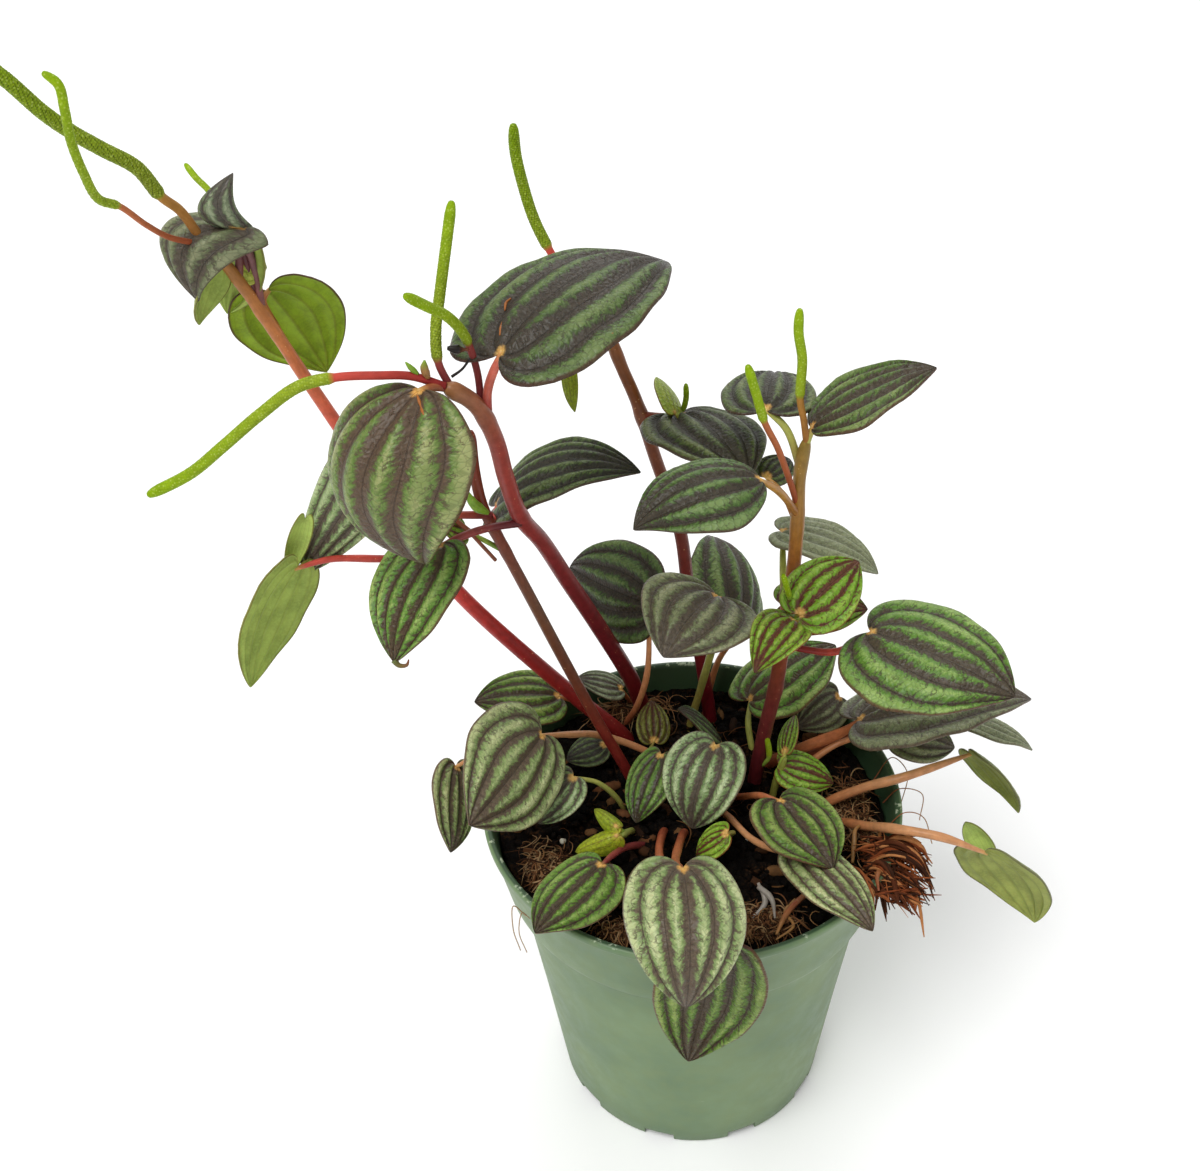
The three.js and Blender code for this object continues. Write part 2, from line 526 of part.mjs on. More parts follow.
// The hole that a rooted tube stands in: its own first rings, wider, and a little deeper.
function rootHole(curve, radiusAt, sides, segments) {
  const rings = Math.ceil((HOLE_REACH * segments) / curve.getLength());
  const wider = (t) => radiusAt(t) + HOLE_CLEARANCE;
  return tube(curve, wider, sides, segments, Math.min(rings, segments), 2 * GAP);
}

function pottingMix() {
  const wall = [[34.2, FLOOR_THICKNESS + GAP], [43.6, COLLAR_FOOT_Z + 1.2],
    [46.2, COLLAR_FOOT_Z + 3.4], [48.5, 87.5]];
  const positions = [[0, 0, FLOOR_THICKNESS + GAP]];
  const turn = (k) => (k / SOIL_SEGMENTS) * 2 * Math.PI;
  const ring = (r, height) => {
    for (let k = 0; k < SOIL_SEGMENTS; k++) {
      const x = r * Math.sin(turn(k));
      const y = r * Math.cos(turn(k));
      positions.push([x, y, height(x, y)]);
    }
  };
  wall.forEach(([r, z]) => ring(r, () => z));
  for (let i = SOIL_RINGS; i > 0; i--) ring((SOIL_RADIUS * i) / SOIL_RINGS, soilTop);
  positions.push([0, 0, soilTop(0, 0)]);
  const last = positions.length - 1;
  const faces = [];
  const rings = (last - 1) / SOIL_SEGMENTS;
  for (let k = 0; k < SOIL_SEGMENTS; k++) {
    const next = (k + 1) % SOIL_SEGMENTS;
    faces.push([0, 1 + k, 1 + next]);
    for (let i = 0; i < rings - 1; i++) {
      const a = 1 + i * SOIL_SEGMENTS;
      const b = a + SOIL_SEGMENTS;
      faces.push([a + k, b + k, a + next], [a + next, b + k, b + next]);
    }
    const top = 1 + (rings - 1) * SOIL_SEGMENTS;
    faces.push([top + k, last, top + next]);
  }
  const holes = [];
  for (const row of [...Object.values(FLOWER_STEMS), ...Object.values(SHOOTS)])
    holes.push(rootHole(rootedLine(row.stem), tapered(row.d), STEM_SIDES, stemSegments(row)));
  for (const row of Object.values(ROSETTE_LEAVES))
    holes.push(rootHole(stalkCurve(row), stalkRadius(row), STALK_SIDES, stalkSegments(row)));
  return solid(positions, faces).subtract(wasm.Manifold.union(holes));
}

// A loose tuft: slim bent fibres that all cross at its middle, lying on the mix or the rim.
function coir({ middle: [cx, cy, cz], reach: [rx, ry], fibres, seed }) {
  const parts = [];
  for (let i = 0; i < fibres; i++) {
    const angle = (i / fibres) * Math.PI + 0.7 * seed;
    const points = [-1, -0.5, 0, 0.5, 1].map((k) => {
      const stray = k ? 1.2 : 0;
      const x = cx + k * rx * Math.cos(angle) + stray * Math.sin(7 * i + 5 * k + seed);
      const y = cy + k * ry * Math.sin(angle) + stray * Math.cos(4 * i + 6 * k + seed);
      const rise = k ? 0.8 + 0.8 * Math.sin(3 * i + 4 * k) : 0.4;
      const ground = cz || soilTop(x, y) + COIR_LIFT;
      return [x, y, ground + COIR_FIBRE_RADIUS + rise];
    });
    parts.push(tube(lineThrough(points), () => COIR_FIBRE_RADIUS, 3, 4));
  }
  return wasm.Manifold.union(parts);
}

// ---- The object ---------------------------------------------------------------------------

const plant = new THREE.Group();
plant.name = "potted_peperomia";
plant.add(meshOf("pot", pot(), POT_GREEN));
plant.add(meshOf("potting_mix", pottingMix(), MIX_BLACK));
for (const [name, row] of Object.entries(COIR)) plant.add(meshOf(name, coir(row), COIR_BROWN));
for (const [name, row] of Object.entries(FLOWER_STEMS))
  plant.add(meshOf(name, branched(row), STEM_RED));
for (const [name, row] of Object.entries(SHOOTS))
  plant.add(meshOf(name, branched(row), LEAF_LIME));
for (const [name, row] of Object.entries(ROSETTE_LEAVES))
  plant.add(meshOf(name, wasm.Manifold.union(leaf(row)), row.grey ? LEAF_GREY : LEAF_GREEN));

export default plant;
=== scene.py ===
"""Potted peperomia: a round nursery pot, red flowering stems and ribbed heart-shaped leaves.

Rows are in millimetres, +Z up, with the floor at z = 0. Meshes are made in metres.
"""

import math
import random
from dataclasses import dataclass

import bpy
import numpy as np
from mathutils import Matrix, Vector, noise


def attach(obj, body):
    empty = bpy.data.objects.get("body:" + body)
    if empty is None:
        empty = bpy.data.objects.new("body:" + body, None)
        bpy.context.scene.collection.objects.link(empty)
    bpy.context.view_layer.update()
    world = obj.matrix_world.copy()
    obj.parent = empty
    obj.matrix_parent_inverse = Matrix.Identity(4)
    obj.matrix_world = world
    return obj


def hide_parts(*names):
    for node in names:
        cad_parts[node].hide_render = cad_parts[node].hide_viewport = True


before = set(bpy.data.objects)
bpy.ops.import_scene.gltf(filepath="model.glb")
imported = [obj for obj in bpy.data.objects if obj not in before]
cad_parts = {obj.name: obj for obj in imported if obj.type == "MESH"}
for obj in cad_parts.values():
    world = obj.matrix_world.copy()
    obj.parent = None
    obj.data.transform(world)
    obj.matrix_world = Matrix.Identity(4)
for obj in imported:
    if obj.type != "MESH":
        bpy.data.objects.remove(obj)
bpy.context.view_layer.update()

MM = 0.001
BODY = "root"

# ---- Camera: the photograph's view

IMAGE_WIDTH_PX = 1200
FOCAL_PX = 1420
SENSOR_MM = 36
CAMERA_MM = (-20.27, -254.10, 347.98)
CAMERA_ELEVATION = 36.4
CAMERA_ROLL = -2.62

# ---- Sizes

ROOT_Z = 81
SOIL_RADIUS = 47.6
SOIL_TOP_Z = 89.4
SOIL_EDGE_DROP = 1.6
SOIL_ROUGHNESS = 1.5
CRUMB_REACH = 45.5
COIR_REACH = 45
CURVE_STEPS = 24
BLADE_ACROSS = 56
BLADE_ROWS = 44
BLADE_THICKNESS = 0.55
EDGE_THICKNESS = 0.22
FULL_WIDTH = 26  # a narrower blade has lower bands and waves
QUILT_HEIGHT = 1.0  # how far the bands rise between the veins
QUILT_RIPPLE = 0.09
VEIN_COUNT = 2.38
VEIN_CROWDING = 0.35
VEIN_WOBBLE = 0.05
BRANCH_PITCH = 3.0
BRANCH_SLANT = 1.9
TONE_SHIFT = 90.0  # how far one leaf's noise lies from another's
FAINT_REACH = 0.2  # a look whose veins reach out less than this
FAINT_SPOT = 0.2  # has this much of the pale spot at the blade's base
EDGE_WAVE = 0.3
STEM_SIDES = 20
STALK_SIDES = 14
STEM_PITCH = 0.9
STALK_TIP_D = 0.9
JUNCTION_LENGTH = 2.6  # of the pale end of a stalk, under its blade
JOINT_SWELL = 0.09  # of a stem where a stalk leaves it
JOINT_LENGTH = 2.2
JOINT_REACH = 6  # a stalk that starts further off swells nothing
TUBE_UV_LENGTH = 100
SPIKE_PITCH = 0.2
SPIKE_SIDES = 36
FLORET_WIDTH = 0.6
FLORET_LENGTH = 0.5
FLORET_RELIEF = 0.22
FLORET_LEAN = 0.21
FLORET_TWIST = 0.13
FIBRE_PITCH = 0.8
FIBRE_SIDES = 5
FIBRE_SINK = 1.5  # no point of a fibre lies lower than this under its middle
TUFT_SPREAD = 0.28
SPLINTER_SIDES = 8
STRAP_PITCH = 0.6
STRAP_SIDES = 7
TWIG_PITCH = 0.4
TWIG_SIDES = 12
POT_SEGMENTS = 160
POT_PITCH = 4


def srgb(r, g, b):
    """A colour written as 0 to 255 screen values, as linear light."""
    return tuple((c / 255 / 12.92) if c < 11 else ((c / 255 + 0.055) / 1.055) ** 2.4 for c in (r, g, b))


def colours(*screen_values):
    return [srgb(*c) for c in screen_values]


def toned(colour, factor):
    return tuple(factor * c for c in colour)


def link(name, data):
    thing = bpy.data.objects.new(name, data)
    bpy.context.scene.collection.objects.link(thing)
    return thing


# ---- Rows: places and diameters in mm, colours as screen values


@dataclass
class Leaf:
    """A blade and its stalk."""

    look: str  # the blade's colours, a row of LOOKS
    hue: str  # the stalk's colours, a row of HUES
    stalk: list  # its points before the blade's base
    base: tuple
    tip: tuple
    width: float
    roll: float  # degrees about the line from base to tip
    d: float = 1.7  # the stalk's diameter
    cup: float = 0.1  # how far the edges turn down
    arch: float = 0.08  # how far the midrib rises
    bow: float = 0  # how far the midrib bends sideways
    lobe: float = 0.8  # how far the lobes hang behind the base
    quilt: float = 1  # scales the height of the bands
    veins: float = 1  # scales the number of veins


@dataclass
class Spike:
    """A smooth stalk that turns into a rod of florets."""

    hue: str
    d: float
    start: int  # the point of the path where the florets begin
    grain: tuple  # how rough the florets are and how much painted shade lies between them, at foot and tip
    path: list


@dataclass
class Stem:
    """A stem and what grows on it; tints and diameters run from foot to top."""

    tints: list
    d: list
    path: list
    leaves: list
    spikes: list


def root(x, y, z):
    """The first points of a rooted line, straight up from its foot in the mix."""
    return (x, y, ROOT_Z), (x, y, (ROOT_Z + z) / 2), (x, y, z)


FLOWER_STEMS = dict(
    flower_stem_1=Stem(
        tints=[(122, 28, 28), (138, 34, 32), (160, 42, 40), (192, 56, 48), (204, 64, 54), (204, 80, 60),
            (184, 112, 60), (156, 112, 56)],
        d=[4.2, 3.8, 3.1, 2.3],
        path=[*root(-15, 28, 88), (-28, 27, 105), (-55, 22, 145), (-66, 19, 170), (-75, 16, 194),
            (-81, 14, 210), (-86, 12, 224), (-91, 10, 236), (-94, 8, 242)],
        leaves=[
            Leaf("olive", "rust", [(-84, 13, 220), (-86, 14, 226)], (-85, 16, 227), (-78, 26, 203), 23, 45),
            Leaf("grey", "plum", [(-86, 12, 224), (-86, 12, 235)], (-87, 10, 243), (-96, 4, 231), 15, 35,
                cup=0.25, arch=0.3, bow=0.33, veins=0.62),
            Leaf("grey", "plum", [(-86, 12, 224), (-86, 12, 235)], (-87, 10, 243), (-86, 10, 254), 7, -110,
                d=1.3, cup=0.2, arch=0.2, bow=-0.35, veins=0.5),
            Leaf("plain", "plum", [(-89, 11, 232)], (-88, 13, 241), (-94, 15, 223), 14, -90, cup=0.2),
            Leaf("plain", "red", [(-60, 21, 156), (-70, 18, 158), (-82, 13, 162)], (-89, 10, 162),
                (-101, -5, 140), 20, -85, d=1.8),
            Leaf("silver", "brown", [(-60, 21, 157), (-63, 17, 170), (-64, 13, 182)], (-66, 12, 190),
                (-89, 14, 157.5), 17, 85, cup=0.3, arch=-0.05),
        ],
        spikes=[
            Spike("tan", 2.6, 2, (1, 0.85), [(-94, 8, 242), (-96, 5, 249), (-98, 2, 253), (-100, -2, 260),
                (-104, -6, 265), (-108, -8, 269), (-111, -10, 273), (-115, -13, 280), (-120, -14, 285),
                (-125, -14, 288)]),
            Spike("rust", 1.6, 3, (1, 0.2), [(-94, 8, 241), (-98, 2, 245), (-100, -4, 250), (-102, -10, 256),
                (-104, -14, 259), (-104, -18, 265), (-104, -20, 271), (-103, -22, 277), (-103, -22, 281),
                (-105, -22, 283)]),
            Spike("lime", 1.3, 1, (0.2, 0.1), [(-91, 10, 237), (-92, 16, 241), (-93, 18, 247), (-96, 20, 250),
                (-98, 22, 252)]),
        ],
    ),
    flower_stem_2=Stem(
        tints=[(114, 28, 28), (118, 36, 30), (104, 54, 34), (104, 62, 36), (122, 52, 32), (120, 48, 30)],
        d=[2.8, 2.7, 2.4],
        path=[*root(-14, 11, 88), (-23, 10, 113), (-31, 9, 136), (-37, 8, 154), (-42, 7, 169), (-45, 6, 179),
            (-46, 6, 188), (-46, 6, 198)],
        leaves=[
            Leaf("dusky", "red", [(-43, 7, 172), (-44, 13, 169)], (-43, 22, 169), (-10, 17, 179), 23, -5,
                arch=0.22),
            Leaf("lime", "lime", [(-41, 7, 166), (-46, 8, 169)], (-50, 9, 171), (-55, 4, 176), 8, 45, d=1.2),
        ],
        spikes=[],
    ),
    flower_stem_3=Stem(
        tints=[(102, 20, 26), (106, 22, 28), (108, 28, 35), (120, 36, 40), (132, 46, 46), (146, 54, 50),
            (152, 62, 52), (148, 100, 64)],
        d=[4.4, 4.2, 3.8, 3.4],
        path=[*root(-10, 39, 88), (-13, 35, 103), (-21, 28, 127), (-28, 20, 148), (-33, 12, 165),
            (-37, 6, 176), (-39, 0, 190), (-40, -5, 202), (-42, -9, 211), (-44, -11, 215), (-48, -13, 219)],
        leaves=[
            Leaf("haze", "brown", [(-47, -12, 218), (-50, -14, 219.5)], (-52.5, -16, 220), (-55, -21.5, 184),
                34, -10, cup=0.32, arch=0.35, bow=0.11, lobe=0.2),
            Leaf("shady", "coral", [(-41, -7, 209), (-40, -10, 217)], (-37, -10, 224), (-4, 22, 227), 38, 2,
                d=1.9, arch=0.14),
            Leaf("vivid", "wine", [(-37, 5, 175), (-44, 2, 176), (-49, -2, 177)], (-54, -4, 176),
                (-65, -18, 156), 23, -4, d=1.8, cup=0.05, bow=0.07),
        ],
        spikes=[
            Spike("red", 2.3, 3, (0.5, 0.3), [(-48, -13, 219), (-54, -14, 222), (-60, -15, 223),
                (-68, -15, 223), (-75, -16, 222), (-83, -17, 217), (-91, -18, 211), (-98, -19, 206),
                (-107, -20, 202)]),
            Spike("wine", 2.1, 1, (1, 0.25), [(-47, -12, 218), (-49, -11, 223), (-49, -9, 229),
                (-48, -7, 234), (-46, -6, 243), (-44, -4, 252)]),
            Spike("wine", 2, 2, (0.5, 0.3), [(-42, -9, 211), (-42, -8, 218), (-43, -10, 226), (-44, -12, 230),
                (-46, -16, 235), (-49, -20, 239), (-52, -24, 243)]),
        ],
    ),
    flower_stem_4=Stem(
        tints=[(98, 16, 26), (110, 22, 32), (106, 30, 30), (106, 44, 28), (118, 62, 32), (130, 78, 40)],
        d=[3.6, 3.3, 2.8],
        path=[*root(8, 34, 88), (5, 34, 113), (2, 34, 133), (0, 34, 151), (-6, 34, 173), (-10, 34, 188),
            (-13, 35, 196), (-16, 36, 205)],
        leaves=[
            Leaf("dusky", "brown", [(-9, 34, 184), (-4, 31, 185)], (0, 28, 187), (12, 0, 187), 26, 5, d=2,
                arch=0.1),
            Leaf("bud", "lime", [(-4, 31, 185)], (-2, 24, 190), (-5, 37, 192), 8, -40, d=1.4, quilt=0),
            Leaf("bud", "olive", [(-14, 35.5, 199), (-19, 33, 206), (-23, 28, 206)], (-25, 25, 203),
                (-24, 20, 193.5), 4, -35, d=1.2, quilt=0),
        ],
        spikes=[
            Spike("red", 2.4, 2, (1, 0.8), [(-16, 36, 204), (-23, 38, 214), (-28, 40, 223), (-31, 41, 230),
                (-33, 42, 238), (-34, 43, 244), (-34, 43, 250)]),
            Spike("lime", 1.3, 1, (0.3, 0.3), [(-4, 31, 185), (0, 28, 188), (1, 28, 191), (1, 28, 195)]),
        ],
    ),
    flower_stem_5=Stem(
        tints=[(92, 28, 34), (100, 34, 38), (112, 46, 42), (136, 66, 36), (156, 86, 38), (150, 104, 42),
            (132, 108, 44)],
        d=[3.6, 3.6, 3.5, 3.1, 2.5],
        path=[*root(17, 9, 88), (19, 7, 109), (21, 5, 126), (22, 3, 146), (23, 2, 161), (23, 0, 178),
            (23, 0, 188), (24, 0, 196)],
        leaves=[
            Leaf("dusky", "olive", [(23, 0, 189), (20, 3, 197)], (16, 6, 200), (21, 29, 196), 20, 0),
            Leaf("deep", "olive", [(23, 0, 192)], (25, 0, 198.5), (50, 2, 210), 26, 8, cup=0.02, arch=0.06,
                lobe=0.25),
            Leaf("deep", "tan", [(23, 0, 177), (18, -6, 187)], (13, -12, 194), (-13, -19, 188), 23, 4,
                cup=0.2, arch=0.19, lobe=0.15),
            Leaf("dusky", "tan", [(23, 1, 174), (20, 5, 180)], (17, 8, 182), (23, 15, 182), 8, -20, d=1.2),
            Leaf("mist", "olive", [(22, 3, 144), (23, 16, 150)], (24, 26, 155), (46, 18, 147), 24, 13,
                cup=0.05, arch=0.12),
            Leaf("lime", "lime", [(22, 3, 146), (22, -4, 152)], (23, -10, 158), (37, 0, 164), 16, -25),
            Leaf("lime", "lime", [(22, 3, 146), (22, -4, 152)], (21.5, -10, 156), (12, -21, 151), 12, 14,
                cup=0.06, arch=0.35),
            Leaf("green", "red", [(22, 4, 138), (26, 1, 139), (33, -3, 141)], (40, -6, 148.5), (67, -27, 146),
                34, -8, arch=0.05),
            Leaf("lime", "red", [(21, 5, 124), (23, 16, 128)], (25, 26, 133), (46, 25, 131), 18, -15),
        ],
        spikes=[
            Spike("rust", 1.9, 3, (0.3, 0.15), [(23, 0, 179), (20, -3, 189), (17, -6, 198), (14, -8, 205),
                (12, -9, 212), (10, -10, 219)]),
            Spike("tan", 2, 2, (0.3, 0.1), [(24, 0, 195), (23, -1, 201), (22, -1, 206), (22, -1, 215),
                (21, -1, 221), (21, -1, 226)]),
            Spike("lime", 1.3, 2, (0.2, 0.2), [(22, 3, 148), (22, -5, 153), (21, -7, 160), (19, -9, 168)]),
            Spike("lime", 1.5, 1, (0.2, 0.2), [(18, 8, 95), (20, 6, 100), (20, 6, 103), (19, 6, 108)]),
        ],
    ),
)

SHOOTS = dict(
    shoot_right=Stem(
        tints=[(120, 110, 50), (134, 140, 60)],
        d=[2, 1.6],
        path=[*root(21, 3, 89), (22, 3, 96), (24, 4, 102)],
        leaves=[
            Leaf("lime", "lime", [(22, 3, 94)], (23, 4, 99), (36, 2, 94), 12, -15, d=1.4),
            Leaf("lime", "lime", [(22, 3, 97)], (24, 5, 103), (28, 16, 105), 6, 35, d=1.4),
        ],
        spikes=[],
    ),
    shoot_left=Stem(
        tints=[(120, 120, 60), (150, 160, 80)],
        d=[1.8, 1.4],
        path=[*root(-15, -6, 88), (-16, -13, 96), (-18, -18, 100)],
        leaves=[
            Leaf("bud", "lime", [(-17, -16, 98)], (-19, -19, 101), (-29, -18, 95), 6, 35, d=1.3, cup=0.7,
                quilt=0),
            Leaf("bud", "lime", [(-17, -16, 98)], (-19, -17, 102), (-24, -11, 102), 4, 20, d=1.3, cup=0.7,
                quilt=0),
        ],
        spikes=[],
    ),
)

ROSETTE_LEAVES = dict(
    leaf_right_1=Leaf("grey", "rust", [*root(20, 14, 89), (29, 13, 96), (39, 11, 103)], (43, 8, 110),
        (85, 9, 113), 35, 15, d=3, arch=0.12),
    leaf_right_2=Leaf("grey", "orange", [*root(27, 9, 89), (38, 11, 99)], (53, 14, 100), (69, 13, 94), 15,
        -20),
    leaf_right_3=Leaf("mist", "rust", [*root(29, 15, 88), (36, 15, 94), (45, 18, 99), (57, 23, 101)],
        (72, 25, 95), (91, 17, 88), 19, 25, d=2.6),
    leaf_right_4=Leaf("sage", "peach", [*root(33, -1, 89), (42, -4, 98), (51, -6, 103)], (69, 0, 104),
        (80, -9, 92), 16, 60, d=2.4),
    leaf_right_5=Leaf("sage", "peach", [*root(36, -6, 88), (42, -14, 95), (47, -22, 102), (56, -26, 103)],
        (67, -26, 97), (81, -29, 75), 22, 60, d=2.4),
    leaf_back_1=Leaf("deep", "orange", [*root(-15, 34, 88), (-12, 30, 98), (-9, 28, 112)], (-8, 34, 129),
        (-28, 56, 126), 26, 60, d=1.7),
    leaf_back_2=Leaf("deep", "orange", [*root(8, 42, 89), (11, 44, 101), (17, 44, 112)], (16, 40, 118),
        (11, 67, 126), 28, -41, cup=0.25, arch=0.18),
    leaf_back_3=Leaf("vivid", "olive", [*root(18, 20, 88), (17, 24, 96)], (18, 28, 100.5), (42, 41, 107), 29,
        14),
    leaf_back_4=Leaf("grey", "rust", [*root(36, 24, 89), (41, 26, 96)], (41, 28, 100), (29, 20, 97), 13, 40,
        d=1.5),
    leaf_centre_1=Leaf("grey", "olive", [*root(2, 31, 88), (5, 28, 106), (7, 18, 129)], (6, 4, 153),
        (-7, -12, 149), 28, 9, d=2, cup=0.02, arch=0.17),
    leaf_centre_2=Leaf("silver", "rust", [*root(8, 12, 89), (8, 8, 101)], (6, 0, 110.5), (-0.5, -11, 94), 21,
        -4, cup=0.02, arch=0.18),
    leaf_centre_3=Leaf("green", "rust", [*root(-3, 12, 89), (-4, 10, 98)], (-7, 6, 102.5), (-14, -6, 91.5),
        15, -20, d=1.5),
    leaf_centre_4=Leaf("deep", "olive", [*root(12, 18, 88)], (9, 18, 95), (-2, 17, 108), 12, -5, d=1.5),
    leaf_centre_5=Leaf("lime", "olive", [*root(9, -9, 88), (9, -15, 96)], (7, -19, 100), (0, -18, 92), 9, 15,
        d=1.3),
    leaf_centre_6=Leaf("olive", "olive", [*root(-10, 21, 87)], (-8, 22, 93), (-8, 31, 99), 9, -5, d=1.2),
    leaf_left_1=Leaf("silver", "peach", [*root(-3, 16, 88), (-12, 15, 97), (-22, 14, 103), (-30, 5, 112)],
        (-36, -2, 118.5), (-52, -29, 117), 28, 53, d=1.9, cup=0.12, arch=0.03),
    leaf_left_2=Leaf("green", "rust", [*root(-22, 35, 88), (-26, 35, 95)], (-33, 34, 99.5), (-55, 32, 100.5),
        19, 10),
    leaf_left_3=Leaf("silver", "peach", [*root(-38, 11, 88), (-43, 11, 99), (-51, 11, 102)], (-59, 10, 98),
        (-61, -5, 83), 18, 65),
    leaf_left_4=Leaf("silver", "olive", [*root(-17, 2, 89), (-23, -1, 101)], (-29, -3, 105), (-38, -9, 96),
        12, 15, d=1.4),
    leaf_left_5=Leaf("dusky", "olive", [*root(-16, 20, 88)], (-21, 18, 96), (-31, 17, 92), 10, 15, d=1.3),
    leaf_left_6=Leaf("grey", "rust", [*root(-13, 43, 87)], (-16, 40, 96), (-28, 40, 100), 10, 5, d=1.3),
    leaf_front_1=Leaf("green", "wine", [*root(-11, -10, 87), (-16, -16, 94), (-20, -24, 100)],
        (-23, -31, 104), (-38, -48, 102), 18, 0, cup=0.16, arch=0.04),
    leaf_front_2=Leaf("silver", "rust", [*root(-2, -8, 89), (-3, -13, 94), (-6, -32, 106)], (-6, -55, 128),
        (-7, -76, 111), 24, 6, d=2, cup=0.3, arch=0.34),
    leaf_front_3=Leaf("green", "rust", [*root(-7, -7, 89), (-8, -12, 93), (-9, -26, 99), (-2, -46, 104)],
        (2, -57, 105), (-5, -57, 66), 25, 80, d=2, cup=-0.12, arch=-0.05),
    leaf_front_4=Leaf("green", "rust", [*root(11, 4, 88), (13, -3, 96), (16, -12, 105)], (19, -20, 111),
        (29, -36, 105), 26, 18, cup=0.02, arch=0.02),
    leaf_front_5=Leaf("silver", "peach", [*root(7, -1, 89), (9, -7, 93), (13, -17, 96), (18, -25, 100)],
        (22.5, -30, 104.5), (36, -50, 100), 16, 8),
)
GREY_NODES = ("leaf_centre_1", "leaf_right_3", "leaf_left_6")

# ---- Lines and meshes


def curve(points, pitch):
    """Points about every pitch mm along a centripetal Catmull-Rom line."""
    p = np.array(points, float)
    p = np.vstack([2 * p[0] - p[1], p, 2 * p[-1] - p[-2]])
    fine = []
    for k in range(1, len(p) - 2):
        p0, p1, p2, p3 = p[k - 1 : k + 3]
        d0, d1, d2 = (max(np.linalg.norm(b - a), 1e-6) ** 0.5 for a, b in ((p0, p1), (p1, p2), (p2, p3)))
        t1 = ((p1 - p0) / d0 - (p2 - p0) / (d0 + d1) + (p2 - p1) / d1) * d1
        t2 = ((p2 - p1) / d1 - (p3 - p1) / (d1 + d2) + (p3 - p2) / d2) * d1
        w = np.linspace(0, 1, CURVE_STEPS, endpoint=False)[:, None]
        fine.append(p1 + t1 * w + (3 * (p2 - p1) - 2 * t1 - t2) * w**2 + (2 * (p1 - p2) + t1 + t2) * w**3)
    fine.append(p[-2:-1])
    fine = np.vstack(fine)
    run = np.r_[0, np.cumsum(np.linalg.norm(np.diff(fine, axis=0), axis=1))]
    at = np.linspace(0, run[-1], max(3, round(run[-1] / pitch)) + 1)
    return np.stack([np.interp(at, run, fine[:, i]) for i in range(3)], 1)


def unit(vectors):
    return vectors / np.maximum(np.linalg.norm(vectors, axis=-1, keepdims=True), 1e-9)


def carried_frames(line):
    """Two cross directions at each point of a line, carried along it without twist."""
    ahead = unit(np.gradient(line, axis=0))
    start = np.cross(ahead[0], (0.31, 0.87, 0.38))
    sides = [start / np.linalg.norm(start)]
    for a in ahead[1:]:
        side = sides[-1] - a * np.dot(sides[-1], a)
        sides.append(side / np.linalg.norm(side))
    sides = np.array(sides)
    return sides, np.cross(ahead, sides)


class Piece:
    """The parts of one piece: points in mm, faces, and what its materials read at each point."""

    def __init__(self):
        self.points, self.faces, self.paint = [], [], []
        self.layers = {"uv": [], "place": [], "tint": []}
        self.count = 0

    def add(self, points, faces, paint=None, **layers):
        n = len(points)
        self.points.append(np.asarray(points, float))
        self.faces += [[k + self.count for k in face] for face in faces]
        self.paint += paint or [0] * len(faces)
        for name, width in (("uv", 2), ("place", 3), ("tint", 3)):
            value = layers.get(name, np.zeros(width))
            self.layers[name].append(np.broadcast_to(np.asarray(value, float), (n, width)))
        self.count += n

    def make(self, name, materials, replaces=()):
        mesh = bpy.data.meshes.new(name)
        mesh.from_pydata((np.vstack(self.points) * MM).tolist(), [], self.faces)
        mesh.polygons.foreach_set("use_smooth", np.ones(len(self.faces), bool))
        mesh.polygons.foreach_set("material_index", np.array(self.paint, np.int32))
        corner = np.zeros(len(mesh.loops), np.int32)
        mesh.loops.foreach_get("vertex_index", corner)
        uv = np.vstack(self.layers["uv"])
        mesh.uv_layers.new(name="uv").data.foreach_set("uv", uv[corner].ravel().astype(np.float32))
        place = mesh.attributes.new("place", "FLOAT_VECTOR", "POINT")
        place.data.foreach_set("vector", np.vstack(self.layers["place"]).ravel().astype(np.float32))
        tint = np.hstack([np.vstack(self.layers["tint"]), np.ones((self.count, 1))])
        colour = mesh.attributes.new("tint", "FLOAT_COLOR", "POINT")
        colour.data.foreach_set("color", tint.ravel().astype(np.float32))
        for material in materials:
            mesh.materials.append(material)
        mesh.update()
        thing = link(name, mesh)
        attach(thing, BODY)
        if replaces:
            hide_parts(*replaces)
        return thing


def circle(r, z, sides):
    turn = np.arange(sides) / sides * 2 * np.pi
    return np.stack([r * np.cos(turn), r * np.sin(turn), z + 0 * turn], 1)


def ring_faces(rings, sides, low, high, first=0):
    """Quads between closed rings of points, and a fan from each end ring to one point."""
    faces = []
    for i in range(rings - 1):
        for j in range(sides):
            a = first + i * sides + j
            b = first + i * sides + (j + 1) % sides
            faces.append((a, b, b + sides, a + sides))
    last = first + (rings - 1) * sides
    for j in range(sides):
        k = (j + 1) % sides
        faces.append((low, first + k, first + j))
        faces.append((high, last + j, last + k))
    return faces


def closed_rings(rings, low, high):
    """The points and faces of a row of rings that ends in a point at both ends."""
    sides = len(rings[0])
    count = len(rings) * sides
    points = np.vstack([np.reshape(rings, (-1, 3)), low, high])
    return points, ring_faces(len(rings), sides, count, count + 1)


